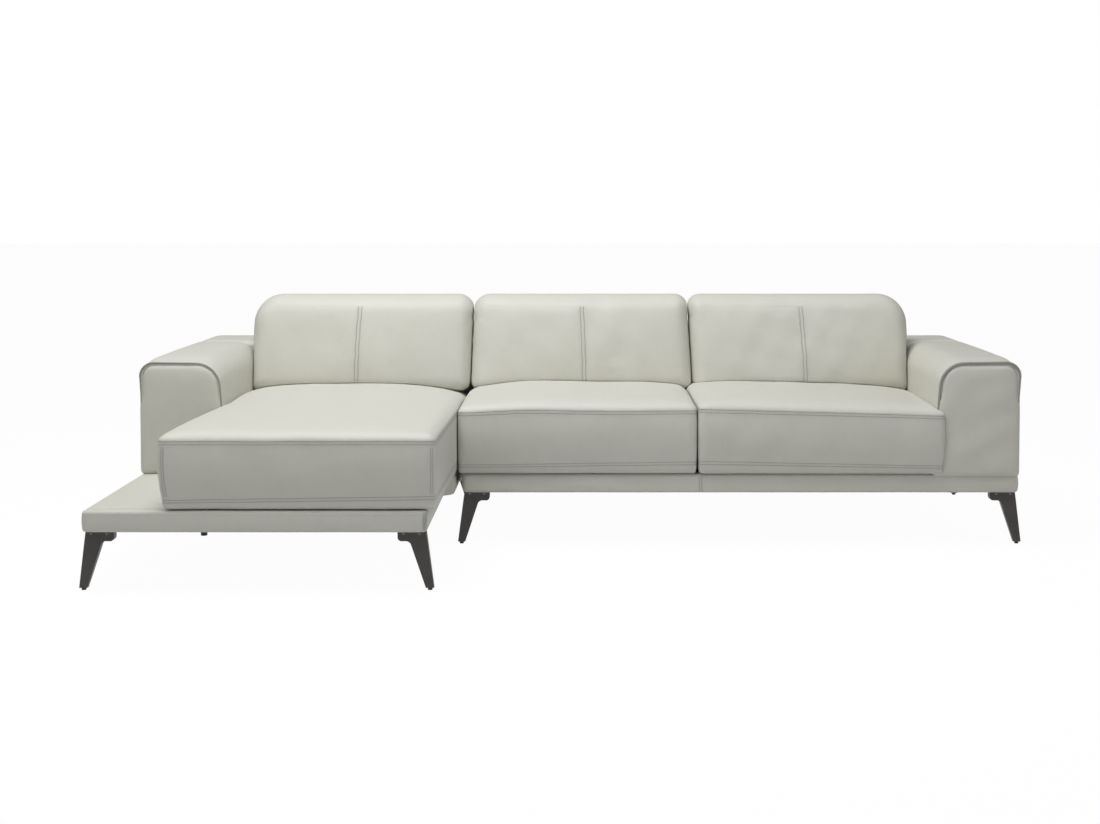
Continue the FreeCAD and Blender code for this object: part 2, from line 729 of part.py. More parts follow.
def welt(side, word, start_height):
    """Round welt sewn into the edge of the arm's front panel."""
    radius = float(S.piping_thick) / 2
    y = float(front) - float(S.arm_proud) - radius
    outer = float(S.half_width) - radius
    top = float(S.arm_top) - radius
    high = arm_inner_high + radius
    r_out = float(S.arm_outer_round) - radius
    r_in = float(S.arm_inner_round) - radius
    plane = across(y)
    slope = (arm_inner_high - arm_inner_low) / (
        float(S.arm_top) - float(S.arm_inner_round) - float(base_top))
    end = float(S.piping_end)
    end_x = high - slope * (top - r_in - end)
    points = [
        Part.LineSegment(plane(side * outer, start_height), plane(side * outer, top - r_out)),
        Part.Arc(plane(side * outer, top - r_out),
                 plane(*[k * v for k, v in zip((side, 1), mid_arc(outer, top, r_out, 1, 1))]),
                 plane(side * (outer - r_out), top)),
        Part.LineSegment(plane(side * (outer - r_out), top), plane(side * (high + r_in), top)),
        Part.Arc(plane(side * (high + r_in), top),
                 plane(*[k * v for k, v in zip((side, 1), mid_arc(high, top, r_in, -1, 1))]),
                 plane(side * high, top - r_in)),
        Part.LineSegment(plane(side * high, top - r_in), plane(side * end_x, end)),
    ]
    path = Part.Wire([item.toShape() for item in points])
    ring = Part.Wire([Part.Circle(plane(side * outer, start_height), FreeCAD.Vector(0, 0, 1), radius).toShape()])
    return keep(formed(f"{word}_welt", path.makePipeShell([ring], True, False)), f"{word}_arm_piping")


arm(-1, "left", base_top + S.unit_gap)
arm(1, "right", base_top - S.panel_hang)
welt(-1, "left", float(base_top + S.unit_gap))
welt(1, "right", float(base_top - S.panel_hang))

# The ledge's panel runs on under the arm to the rear cover.
keep(block("ledge_panel", ledge_low, ledge_high), "chaise_ledge_panel")

# Low back unit behind the cushions


def back_unit(module, left, right, outer_side):
    """Board frame and padded cover of one module's low back."""
    y0 = front + S.arm_depth
    low = base_top
    top = S.back_top
    outer = block(f"{module}_back_outer", (left, y0, low), (right, rear, top))
    corner = softened(f"{module}_back_corner", outer, S.back_corner, (f"{outer_side}_rear",))
    form = softened(f"{module}_back_form", corner, S.back_round, ("front_top",))
    wall = S.back_wall
    below = low - wall
    hollow = block(f"{module}_back_hollow", (left + wall, y0 + wall, below),
                   (right - wall, rear - wall, top - wall))
    inner = softened(f"{module}_back_hollow_corner", hollow, S.back_corner - wall, (f"{outer_side}_rear",))
    keep(less(f"{module}_back_skin", form, inner), f"{module}_back_cover")
    reach = wall + S.fit_gap
    frame_low = (left + reach + S.back_corner / 3, y0 + reach, low)
    frame_high = (right - reach, rear - reach - S.back_corner / 3, top - reach - S.back_round / 3)
    if outer_side == "right":
        frame_low = (left + reach, y0 + reach, low)
        frame_high = (right - reach - S.back_corner / 3, frame_high[1], frame_high[2])
    boards = block(f"{module}_back_boards", frame_low, frame_high)
    thick = S.back_board
    void = block(f"{module}_back_void", [a + thick for a in frame_low[:2]] + [below],
                 [a - thick for a in frame_high])
    keep(less(f"{module}_back_box", boards, void), f"{module}_back_frame")


back_gap = S.soft_gap / 2
back_unit("chaise", chaise_left, -S.seat_parting - back_gap, "left")
back_unit("two_seat", -S.seat_parting + back_gap, two_seat_right, "right")

# Seat cushions: crowned boxes with swelling sides, lofted from front to back


def seat_section(y, left, right, draw, inset, crown, edge):
    """One cross-section of a seat cushion; draw is how far its front edge has drawn in here."""
    x0 = left + inset + draw * 0.6
    x1 = right - inset - draw * 0.6
    z0 = float(base_top) + inset + draw * 0.7
    z1 = edge - inset - draw * 0.9
    foot = float(S.seat_foot)
    top = float(S.seat_round)
    swell = float(S.seat_bulge)
    mid = (z0 + z1) / 2
    runs = [
        (LINE, (x1 - foot, z0)),
        (ARC, mid_arc(x1, z0, foot, 1, -1), (x1, z0 + foot)),
        (ARC, (x1 + swell, mid), (x1, z1 - top)),
        (ARC, mid_arc(x1, z1, top, 1, 1), (x1 - top, z1)),
        (ARC, ((x0 + x1) / 2, z1 + crown), (x0 + top, z1)),
        (ARC, mid_arc(x0, z1, top, -1, 1), (x0, z1 - top)),
        (ARC, (x0 - swell, mid), (x0, z0 + foot)),
        (ARC, mid_arc(x0, z0, foot, -1, -1), (x0 + foot, z0)),
    ]
    return outline(across(y), (x0 + foot, z0), runs)


def seat_form(left_line, right_line, start, inset, end_spare):
    """A seat cushion's form; the side lines give each side's x at a depth behind the base's front."""
    back = seat_back
    nose = float(S.seat_nose)
    crown = float(S.seat_crown)
    edge = float(S.seat_edge)
    swell = float(S.seat_bulge)
    stations = [start + inset + nose * share for share in (0.0, 0.04, 0.16, 0.4, 1.0, 2.5, 6.0)]
    stations += [start + (back - start) * 0.45, back * 0.8, back * 0.9, back]
    rises = [0.45, 0.5, 0.58, 0.66, 0.74, 0.82, 0.92, 1.0, 1.0, 0.75, 0.2]
    if end_spare:
        stations.append(back + end_spare)
        rises.append(rises[-1])
    wires = []
    for place, rise in zip(stations, rises):
        draw = quarter(nose, nose, place - start - inset)
        drop = (1.0 - rise) * crown * 0.6 if place >= back else 0.0
        left = left_line(place) + swell
        right = right_line(place) - swell
        wires.append(seat_section(float(front) + place, left, right, draw, inset, crown * rise, edge - drop))
    return lofted(wires)


def straight_line(x):
    """A side that runs straight back."""
    return lambda behind: float(x)


def chaise_left_line(behind):
    """The chaise cushion's left side: squeezed in where the arm starts, and full again at the front."""
    front_x = float(S.half_width - S.chaise_margin)
    waist_x = float(S.half_width - S.waist_margin)
    if behind <= 0.0:
        share = min(1.0, -behind / float(S.chaise_reach))
        return -(waist_x + (front_x - waist_x) * share)
    return -(waist_x + (arm_inner_rear - waist_x) * behind / float(S.arm_depth)) + float(S.unit_gap) * 2


def chaise_right_line(behind):
    """The chaise cushion's right side: a little further in at the front."""
    share = max(0.0, min(1.0, -behind / float(S.chaise_reach)))
    return -float(S.seat_parting) - float(back_gap) - float(S.chaise_slim) * share


def arm_tool(side, more):
    """The space that an arm needs, with clearance, to trim the cushions that press on it."""
    form = arm_form(side, -float(S.arm_proud), float(S.arm_depth), 0.0, float(S.leg_height))
    form.translate(FreeCAD.Vector(-side * more, -more, 0))
    return form


half_soft = float(S.soft_gap) / 2
SEATS = {
    "chaise": (chaise_left_line, chaise_right_line, -float(S.chaise_reach) - float(S.chaise_overhang), -1),
    "middle": (straight_line(-float(S.seat_parting) + half_soft),
               straight_line(float(S.seat_seam) - half_soft), -float(S.seat_proud), 0),
    "right": (straight_line(float(S.seat_seam) + half_soft), straight_line(S.half_width - S.lobe_margin),
              -float(S.seat_proud), 1),
}


def seat_solid(word, inset, more, end_spare=0.0):
    """A seat cushion's solid, drawn in by inset and trimmed clear of its arm."""
    left_line, right_line, start, arm_side = SEATS[word]
    form = seat_form(left_line, right_line, start, inset, end_spare)
    if arm_side:
        form = form.cut(arm_tool(arm_side, more))
    return one_solid(form)


gap = float(S.unit_gap)
soft = float(S.soft_wall)
fit = float(S.fit_gap)
for word in SEATS:
    outer_form = seat_solid(word, 0.0, gap)
    cavity = seat_solid(word, soft, gap + soft, soft * 2)
    keep(formed(f"{word}_seat_skin", one_solid(outer_form.cut(cavity))), f"{word}_seat_cover")
    keep(formed(f"{word}_seat_block", seat_solid(word, soft + fit, gap + soft + fit)), f"{word}_seat_foam")

# Back cushions: leaning, crowned and drawn in at their ends, lofted from left to right


def pillow_section(x, drop, draw, inset, rear_spare):
    """One section of a back cushion from front to back; drop lowers its head, draw pulls its face in."""
    back = seat_back + float(S.unit_gap) * 5
    foot_y = float(front) + pillow_front + draw + inset
    lean = float(S.pillow_lean)
    low = float(S.pillow_low) + inset
    top = float(S.pillow_top) - drop - inset
    foot = float(S.pillow_foot)
    crest = float(S.pillow_crest)
    shelf = float(S.back_top) + float(S.unit_gap) * 3 + inset
    head_rear = float(front) + float(S.arm_depth + S.pillow_over) - draw * 0.7 - inset
    neck = float(front) + back + rear_spare
    full = float(S.pillow_top) - float(S.pillow_low)
    face_top = (foot_y + lean * (top - crest - low) / full, top - crest)
    face_mid = ((foot_y + face_top[0]) / 2 - float(S.pillow_swell), (low + foot + face_top[1]) / 2)
    head_mid = ((face_top[0] + head_rear) / 2, top)
    runs = [
        (LINE, (foot_y + foot, low)),
        (ARC, mid_arc(foot_y, low, foot, -1, -1), (foot_y, low + foot)),
        (ARC, face_mid, face_top),
        (ARC, head_mid, (head_rear, top - crest)),
        (LINE, (head_rear, shelf)),
        (LINE, (neck, shelf)),
        (LINE, (neck, low)),
    ]
    return outline(along(x), (neck, low), runs)


def pillow_form(left, right, left_corner, right_corner, inset, rear_spare):
    """A back cushion's form between two ends, with its own radius at each top corner."""
    x0, x1 = left + inset, right - inset
    draw = float(S.pillow_draw)
    wires = []
    stations = []
    shares = (0.0, 0.03, 0.11, 0.25, 0.5, 1.0)
    for share in shares:
        stations.append((x0 + left_corner * share, left_corner, share))
    for share in reversed(shares):
        stations.append((x1 - right_corner * share, right_corner, share))
    for x, corner, share in stations:
        drop = quarter(corner, corner, corner * share)
        pulled = quarter(draw, draw * 1.6, corner * share)
        wires.append(pillow_section(x, drop, pulled, inset, rear_spare))
    return lofted(wires)


def channel_tool(x):
    """The strip that leaves the sewn channel down the middle of a back cushion's face."""
    face = pillow_section(x, 0.0, float(S.channel_deep), 0.0, 0.0)
    arc = face.Edges[2]
    start, end = arc.Vertexes[0].Point, arc.Vertexes[1].Point
    away = FreeCAD.Vector(0, -pillow_front / 4, 0)
    wire = Part.Wire([
        arc, Part.makeLine(end, end + away), Part.makeLine(end + away, start + away),
        Part.makeLine(start + away, start),
    ])
    wide = float(S.channel_wide)
    strip = Part.Face(wire).extrude(FreeCAD.Vector(wide, 0, 0))
    strip.translate(FreeCAD.Vector(-wide / 2, 0, 0))
    return strip


pillow_side = float(S.half_width - S.pillow_margin)
pillow_parting = float(S.seat_parting - S.parting_shift)
pillow_seam = float(S.seat_seam + S.seam_shift)
PILLOWS = {
    "left": (-pillow_side, -pillow_parting - half_soft,
             float(S.outer_corner), float(S.inner_corner), ("chaise",), -1),
    "middle": (-pillow_parting + half_soft, pillow_seam - half_soft,
               float(S.inner_corner), float(S.inner_corner), ("middle", "right"), 0),
    "right": (pillow_seam + half_soft, pillow_side,
              float(S.inner_corner), float(S.outer_corner), ("right",), 1),
}


def pillow_solid(word, inset, more, rear_spare=0.0):
    """A back cushion's solid, trimmed to sit on its seats and beside its arm."""
    left, right, left_corner, right_corner, seats, arm_side = PILLOWS[word]
    form = pillow_form(left, right, left_corner, right_corner, inset, rear_spare)
    for seat in seats:
        tool = seat_solid(seat, 0.0, gap, seat_back - pillow_front)
        tool.translate(FreeCAD.Vector(0, 0, more))
        form = form.cut(tool)
    if arm_side:
        form = form.cut(arm_tool(arm_side, more))
    return one_solid(form)


for word, (left, right, *_rest) in PILLOWS.items():
    outer_form = pillow_solid(word, 0.0, gap)
    outer_form = one_solid(outer_form.cut(channel_tool((left + right) / 2)))
    cavity = pillow_solid(word, soft, gap + soft, soft * 2)
    keep(formed(f"{word}_pillow_skin", one_solid(outer_form.cut(cavity))), f"{word}_back_cover")
    keep(formed(f"{word}_pillow_block", pillow_solid(word, soft + fit, gap + soft + fit)), f"{word}_back_foam")

# Connectors: a hook on the chaise drops into an open pocket on the two-seat module


def strip_body(name, points, x, y):
    """A bent steel strip, drawn from the front and made as wide as a connector."""
    body = new_body(name)
    view = profile(body, f"{name}_front_view", "XZ_Plane", points)
    padded(body, f"{name}_strip", view, S.hook_wide, midplane=True)
    return placed(body, x, y, 0)


steel = S.hook_steel
clear = S.hook_clear
hook_low = S.hook_top - S.hook_tall
tongue_x = steel + clear * 2 + steel
hook_points = [
    (0, hook_low), (steel, hook_low), (steel, S.hook_top - steel), (tongue_x, S.hook_top - steel),
    (tongue_x, hook_low + steel * 2), (tongue_x + steel, hook_low + steel * 2),
    (tongue_x + steel, S.hook_top), (0, S.hook_top),
]
wall_out = steel + clear - S.base_slot
pocket_points = [
    (0, hook_low), (0, S.hook_top - steel * 2), (-steel, S.hook_top - steel * 2),
    (-steel, hook_low + steel), (wall_out + steel, hook_low + steel),
    (wall_out + steel, S.hook_top - steel * 3), (wall_out, S.hook_top - steel * 3), (wall_out, hook_low),
]
hooks = []
pockets = []
for index in range(2):
    y = front + S.hook_behind + S.hook_pitch * index
    hooks.append(strip_body(f"hook_{index}", hook_points, chaise_right, y))
    pockets.append(strip_body(f"pocket_{index}", pocket_points, two_seat_left, y))
keep(group("hooks", hooks), "chaise_connector_hooks")
keep(group("pockets", pockets), "two_seat_connector_receivers")

# Check every object and write each piece to its own file

doc.recompute()
for item in doc.Objects:
    if "Invalid" in item.State or "Error" in item.State:
        raise RuntimeError(f"{item.Label} did not build: {item.State}")
for item in NODES:
    if item.Shape.isNull() or not item.Shape.isValid():
        raise RuntimeError(f"{item.Label} has no valid shape")

os.makedirs("parts", exist_ok=True)
for item in NODES:
    item.Shape.exportStep(f"parts/{item.Label}.step")
print(f"{len(NODES)} pieces")
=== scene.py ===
"""Looks of a leather corner sofa: a chaise module and a two-seat module on blade legs, in metres."""

import json
import logging
import math
from dataclasses import dataclass, field
from enum import Enum
from typing import Callable, ClassVar, Sequence, Union

import bmesh
import bpy
import numpy as np
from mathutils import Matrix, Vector

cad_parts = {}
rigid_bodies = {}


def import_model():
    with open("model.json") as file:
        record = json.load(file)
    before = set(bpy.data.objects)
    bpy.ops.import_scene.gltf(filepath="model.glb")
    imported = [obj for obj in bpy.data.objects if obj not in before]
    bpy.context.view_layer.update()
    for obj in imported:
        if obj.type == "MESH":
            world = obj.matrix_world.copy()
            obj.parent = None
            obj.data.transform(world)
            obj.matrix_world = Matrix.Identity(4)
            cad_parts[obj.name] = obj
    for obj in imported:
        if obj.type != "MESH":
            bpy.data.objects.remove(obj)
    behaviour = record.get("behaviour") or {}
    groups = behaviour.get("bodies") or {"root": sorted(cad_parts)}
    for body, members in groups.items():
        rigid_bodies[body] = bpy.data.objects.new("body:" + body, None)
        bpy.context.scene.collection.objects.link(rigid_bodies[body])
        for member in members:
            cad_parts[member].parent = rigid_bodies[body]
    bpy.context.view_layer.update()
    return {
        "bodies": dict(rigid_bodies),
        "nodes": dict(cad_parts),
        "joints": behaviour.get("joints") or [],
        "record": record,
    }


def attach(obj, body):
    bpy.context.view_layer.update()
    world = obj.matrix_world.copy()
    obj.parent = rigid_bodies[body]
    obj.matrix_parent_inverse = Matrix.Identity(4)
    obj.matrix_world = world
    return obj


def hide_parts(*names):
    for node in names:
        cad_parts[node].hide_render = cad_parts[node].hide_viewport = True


LOG = logging.getLogger("corner_sofa")
FAR = 1.0  # a point's distance to a seam, in metres, where no seam is near
TURN = 2 * math.pi
QUARTER = 0.5 * math.pi

Number = Union[int, float]
Line = Callable[[np.ndarray], np.ndarray]
Trio = tuple[np.ndarray, np.ndarray, np.ndarray]
Places = Callable[[np.ndarray, np.ndarray, np.ndarray], Trio]
Waves = Callable[[np.ndarray, np.ndarray], np.ndarray]
Face = tuple[int, ...]
Row = tuple[float, float]
Spot = tuple[float, float, float]
Radii = tuple[float, float, float, float]
Tone = tuple[int, int, int]
Colour = tuple[float, float, float, float]


class Module(Enum):
    """The two parts of the sofa that lift apart."""

    CHAISE = "chaise_module"
    TWO_SEAT = "two_seat_module"


class Side(Enum):
    """Left or right as someone facing the sofa sees it; the value is the sign of X."""

    LEFT = -1
    RIGHT = 1


# Shader arithmetic


class Wire:
    """A shader socket that takes part in arithmetic."""

    def __init__(self, graph: "Graph", socket: bpy.types.NodeSocket) -> None:
        """Keep the socket and the graph that it is in."""
        self.graph = graph
        self.socket = socket

    def _math(self, operation: str, *values: "Feed") -> "Wire":
        """A Math node on these values."""
        node = self.graph.node("ShaderNodeMath", {"operation": operation}, dict(enumerate(values)))
        return Wire(self.graph, node.outputs[0])

    def __add__(self, other: "Feed") -> "Wire":
        """This plus other."""
        return self._math("ADD", self, other)

    def __sub__(self, other: "Feed") -> "Wire":
        """This less other."""
        return self._math("SUBTRACT", self, other)

    def __mul__(self, other: "Feed") -> "Wire":
        """This times other."""
        return self._math("MULTIPLY", self, other)

    def __radd__(self, other: Number) -> "Wire":
        """A number plus this."""
        return self._math("ADD", other, self)

    def __rsub__(self, other: Number) -> "Wire":
        """A number less this."""
        return self._math("SUBTRACT", other, self)

    def __rmul__(self, other: Number) -> "Wire":
        """A number times this."""
        return self._math("MULTIPLY", other, self)

    def __pow__(self, other: "Feed") -> "Wire":
        """This to a power."""
        return self._math("POWER", self, other)

    def __abs__(self) -> "Wire":
        """The size of this without its sign."""
        return self._math("ABSOLUTE", self)

    def capped(self, other: "Feed") -> "Wire":
        """The smaller of this and other."""
        return self._math("MINIMUM", self, other)

    def raised(self, other: "Feed") -> "Wire":
        """The larger of this and other."""
        return self._math("MAXIMUM", self, other)

    def hump(self, width: float) -> "Wire":
        """A smooth hump of height 1 where this is zero, as wide as width on each side."""
        scaled = self * (1.0 / width)
        return self._math("EXPONENT", -1.0 * (scaled * scaled))

    def repeated(self, pitch: float) -> "Wire":
        """Where this stands within a repeating pitch, from 0 to 1."""
        return self._math("FRACT", self * (1.0 / pitch))


Feed = Union[Number, Wire, Sequence[float], bpy.types.NodeSocket]


class Graph:
    """The nodes of a material or of the world, all added by one method."""

    def __init__(self, tree: bpy.types.NodeTree) -> None:
        """Keep the tree and empty it."""
        self.tree = tree
        tree.nodes.clear()

    def node(self, kind: str, settings: dict, inputs: dict) -> bpy.types.Node:
        """Add one node.

        Args:
            kind: the node's type.
            settings: its own settings, set first.
            inputs: values or links by socket name or number.

        Returns:
            The new node.
        """
        made = self.tree.nodes.new(kind)
        for key, value in settings.items():
            setattr(made, key, value)
        for key, value in inputs.items():
            socket = made.inputs[key]
            if isinstance(value, Wire):
                self.tree.links.new(value.socket, socket)
            elif isinstance(value, bpy.types.NodeSocket):
                self.tree.links.new(value, socket)
            else:
                socket.default_value = value
        return made

    def wire(self, kind: str, settings: dict, inputs: dict, output: Union[int, str] = 0) -> Wire:
        """Add one node and take one of its outputs, with the arguments of node()."""
        return Wire(self, self.node(kind, settings, inputs).outputs[output])

    def place(self) -> Wire:
        """The point on the object, in metres."""
        return self.wire("ShaderNodeTexCoord", {}, {}, "Object")

    def split(self, vector: Wire) -> tuple[Wire, Wire, Wire]:
        """A vector's three parts."""
        node = self.node("ShaderNodeSeparateXYZ", {}, {0: vector})
        return tuple(Wire(self, node.outputs[axis]) for axis in range(3))

    def times(self, vector: Wire, other: Feed) -> Wire:
        """A vector or colour multiplied part by part."""
        return self.wire("ShaderNodeVectorMath", {"operation": "MULTIPLY"}, {0: vector, 1: other})

    def mark(self, name: str) -> Wire:
        """A number kept on the mesh's points."""
        return self.wire("ShaderNodeAttribute", {"attribute_name": name}, {}, "Fac")

    def noise(self, at: Wire, scale: float, detail: float = 2.0, distortion: float = 0.0) -> Wire:
        """Soft noise from 0 to 1 at a scale in cycles a metre."""
        sockets = {"Vector": at, "Scale": scale, "Detail": detail, "Distortion": distortion}
        return self.wire("ShaderNodeTexNoise", {}, sockets)

    def cells(self, at: Wire, scale: float) -> Wire:
        """Distance to the edges of small cells, as between the pebbles of leather."""
        settings = {"feature": "DISTANCE_TO_EDGE"}
        return self.wire("ShaderNodeTexVoronoi", settings, {"Vector": at, "Scale": scale})

    def mixed(self, share: Feed, first: Feed, second: Feed) -> Wire:
        """A colour between two colours."""
        settings = {"data_type": "RGBA", "clamp_factor": True}
        return self.wire("ShaderNodeMix", settings, {0: share, 6: first, 7: second}, 2)

    def shaded(self, colour: Wire, share: Wire) -> Wire:
        """A colour multiplied by a grey share."""
        return self.times(colour, self.wire("ShaderNodeCombineXYZ", {}, {axis: share for axis in range(3)}))

    def bump(self, height: Wire, distance: float, strength: float, below: Union[Wire, None] = None) -> Wire:
        """A relief.

        Args:
            height: its height, in units of distance.
            distance: that unit in metres.
            strength: how strongly it shows, from 0 to 1.
            below: the relief that it lies on, where there is one.

        Returns:
            The relief's normal.
        """
        sockets = {"Height": height, "Distance": distance, "Strength": strength}
        if below is not None:
            sockets["Normal"] = below
        return self.wire("ShaderNodeBump", {}, sockets)


class Surface(Graph):
    """A material's nodes, ending in one Principled shader."""

    def __init__(self, name: str) -> None:
        """Start an empty material.

        Args:
            name: the material's name.
        """
        self.material = bpy.data.materials.new(name)
        self.material.use_nodes = True
        super().__init__(self.material.node_tree)
        self.shader = self.node("ShaderNodeBsdfPrincipled", {}, {})
        self.output = self.node("ShaderNodeOutputMaterial", {}, {"Surface": self.shader.outputs[0]})

    def finish(self, varying: dict[str, Wire], fixed: dict[str, float]) -> bpy.types.Material:
        """Feed the shader and return the material.

        Args:
            varying: wires by socket name.
            fixed: constants by socket name.

        Returns:
            The finished material.
        """
        for name, value in fixed.items():
            self.shader.inputs[name].default_value = value
        for name, value in varying.items():
            self.tree.links.new(value.socket, self.shader.inputs[name])
        return self.material


def linear(tone: Tone, *shares: float) -> Colour:
    """A linear colour from a display colour.

    Args:
        tone: red, green and blue from 0 to 255.
        shares: what to multiply them by, one number for all three or one for each.

    Returns:
        Red, green, blue and an alpha of 1, each from 0 to 1.
    """
    parts = []
    each = shares if len(shares) == 3 else (shares or (1.0,)) * 3
    for value, share in zip(tone, each):
        shown = min(255, int(value * share)) / 255.0
        parts.append(shown / 12.92 if shown <= 0.04045 else ((shown + 0.055) / 1.055) ** 2.4)
    return (*parts, 1.0)


# Finishes


@dataclass(frozen=True)
class Leather:
    """Grained leather with double-stitched seams along the marks "line_a" and "line_b"."""

    name: str = "warm_grey_leather"
    tone: Tone = (213, 213, 205)
    dark_share: float = 0.9
    rubbed_share: float = 1.035
    warm_shares: Spot = (1.005, 0.996, 0.975)
    # a share that darkens the whole colour as painted shade; 1 leaves the leather as it is
    painted_shade: float = 1.0
    patches: float = 1.7
    mottling: float = 34.0
    creasing: float = 46.0
    ripples: float = 62.0
    pebbles: float = 520.0
    pores: float = 1500.0
    seam_half: float = 0.0042
    line_width: float = 0.0011
    line_shade: float = 0.36
    stitch_pitch: float = 0.0062
    roughness: float = 0.46
    specular: float = 0.42
    valley_shade: float = 0.06
    thread_light: float = 0.1
    grain_relief: float = 0.00022
    crease_relief: float = 0.00045
    ripple_height: float = 0.0022
    line_depth: float = 0.0016
    thread_height: float = 0.0006

    def seam(self, graph: Graph, mark: str, run: Wire) -> tuple[Wire, Wire, Wire]:
        """The parts of one family of seams.

        Args:
            graph: the material's graph.
            mark: the point attribute with the distance to the seam.
            run: the place along the seam, for the stitches.

        Returns:
            The sunk lines, the stitches and the wide valley, each from 0 to 1.
        """
        away = abs(graph.mark(mark))
        lines = (away - self.seam_half).hump(self.line_width)
        valley = away.hump(self.seam_half * 2.4)
        dash = (1.0 - abs(run.repeated(self.stitch_pitch) - 0.5) * 2.6).raised(0.0)
        return lines, dash * (away - self.seam_half).hump(self.line_width * 1.5), valley

    def material(self) -> bpy.types.Material:
        """The finished leather.

        Returns:
            The material.
        """
        graph = Surface(self.name)
        at = graph.place()
        x, y, z = graph.split(at)
        broad = graph.noise(at, self.patches, 3.0, 0.4)
        mottle = graph.noise(at, self.mottling, 4.0)
        pebbles = (graph.cells(at, self.pebbles) * 6.0).capped(1.0)
        pores = graph.noise(at, self.pores)
        creases = (1.0 - abs(graph.noise(at, self.creasing, 3.0, 0.8) - 0.5) * 2.0) ** 9.0
        ripples = graph.noise(graph.times(at, (1.0, 1.0, 0.25)), self.ripples)
        families = self.seam(graph, "line_a", x + y), self.seam(graph, "line_b", z)
        lines, thread, valley = (first.raised(second) for first, second in zip(*families))
        rub = graph.mark("rub").raised(0.0) * (mottle * 1.4).capped(1.0)
        colour = graph.mixed((broad - 0.5) * 1.2 + 0.4, linear(self.tone), linear(self.tone, *self.warm_shares))
        colour = graph.mixed((mottle - 0.42).raised(0.0) * 0.3, colour, linear(self.tone, self.dark_share))
        colour = graph.mixed(rub * 0.35, colour, linear(self.tone, self.rubbed_share))
        # The colour darkens in the sunk seam lines, partly their own dark joint and partly painted shade in the
        # groove, and in the wide valley beside them as painted shade; the stitches show as lighter thread.
        depth = (0.965 + pebbles * 0.035) * (1.0 - lines * self.line_shade)
        depth = depth * (1.0 - valley * self.valley_shade) * (1.0 + thread * self.thread_light)
        colour = graph.shaded(colour, depth * self.painted_shade)
        relief = graph.bump(pebbles * 0.6 + pores * 0.25, self.grain_relief, 0.55)
        relief = graph.bump(creases * 0.5 + mottle * 0.6, self.crease_relief, 0.5, relief)
        seams = ripples * valley * self.ripple_height - lines * self.line_depth + thread * self.thread_height
        relief = graph.bump(seams, 1.0, 0.8, relief)
        rough = self.roughness + (1.0 - pebbles) * 0.12 + (broad - 0.5) * 0.08 - rub * 0.06 + lines * 0.15
        return graph.finish({"Base Color": colour, "Roughness": rough, "Normal": relief},
                            {"Specular IOR Level": self.specular, "Coat Roughness": 0.45})


@dataclass(frozen=True)
class DarkMetal:
    """Satin gun-metal of the legs, brushed along their height and a little cloudy."""

    name: str = "gun_metal"
    tone: Tone = (80, 77, 75)
    dark_share: float = 0.84
    brushing: float = 900.0
    clouding: float = 22.0
    roughness: float = 0.36
    metallic: float = 0.55
    relief: float = 0.00006

    def material(self) -> bpy.types.Material:
        """The finished metal.

        Returns:
            The material.
        """
        graph = Surface(self.name)
        at = graph.place()
        brushed = graph.noise(graph.times(at, (1.0, 1.0, 0.08)), self.brushing, 3.0)
        cloud = graph.noise(at, self.clouding, 3.0)
        colour = graph.mixed(cloud, linear(self.tone), linear(self.tone, self.dark_share))
        colour = graph.shaded(colour, 0.92 + brushed * 0.16)
        rough = self.roughness + cloud * 0.12 + brushed * 0.06
        relief = graph.bump(brushed, self.relief, 0.5)
        return graph.finish({"Base Color": colour, "Roughness": rough, "Normal": relief},
                            {"Metallic": self.metallic})


@dataclass(frozen=True)
class Grained:
    """A plain finish with a drawn grain: timber, webbing, cloth, foam, steel or plastic."""

    name: str
    tone: Tone
    other: Tone
    scale: float
    roughness: float
    stretch: Spot = (1.0, 1.0, 1.0)
    metallic: float = 0.0
    depth: float = 0.0003

    def material(self) -> bpy.types.Material:
        """The finished surface.

        Returns:
            The material.
        """
        graph = Surface(self.name)
        at = graph.place()
        grain = graph.noise(graph.times(at, self.stretch), self.scale, 4.0, 0.3)
        speck = graph.noise(at, self.scale * 4.0)
        colour = graph.mixed((grain - 0.3) * 2.0, linear(self.tone), linear(self.other))
        relief = graph.bump(grain * 0.7 + speck * 0.3, self.depth, 0.6)
        rough = self.roughness + (speck - 0.5) * 0.15
        return graph.finish({"Base Color": colour, "Roughness": rough, "Normal": relief},
                            {"Metallic": self.metallic})


@dataclass
class Finishes:
    """Every finish on the sofa, made once."""

    leather: bpy.types.Material = field(init=False)
    # the welt's finish is the same leather darkened to half, painted shade for the welt in its groove
    welt: bpy.types.Material = field(init=False)
    by_slot: dict[str, bpy.types.Material] = field(init=False)

    def __post_init__(self) -> None:
        """Make the materials."""
        self.leather = Leather().material()
        # the same leather at half brightness: painted shade for the welt in its shadowed groove
        self.welt = Leather(name="painted_shade_welt_leather", painted_shade=0.5).material()
        along = (0.06, 1.0, 1.0)
        others = {
            "leg_metal": DarkMetal(),
            "timber": Grained("planed_timber", (205, 170, 124), (168, 128, 86), 70.0, 0.6, along),
            "foam": Grained("cream_foam", (232, 222, 190), (214, 203, 168), 700.0, 0.9, depth=0.001),
            "webbing": Grained("black_webbing", (44, 42, 41), (24, 23, 23), 900.0, 0.8),
            "dust_cloth": Grained("dust_cloth", (38, 37, 36), (22, 22, 22), 1400.0, 0.95),
            "black_plastic": Grained("black_plastic", (30, 29, 28), (20, 20, 20), 800.0, 0.5),
            "zinc_steel": Grained("zinc_steel", (178, 178, 174), (148, 148, 146), 60.0, 0.35, along, 0.9),
        }
        self.by_slot = {"leather": self.leather}
        for slot, finish in others.items():
            self.by_slot[slot] = finish.material()


# Meshes


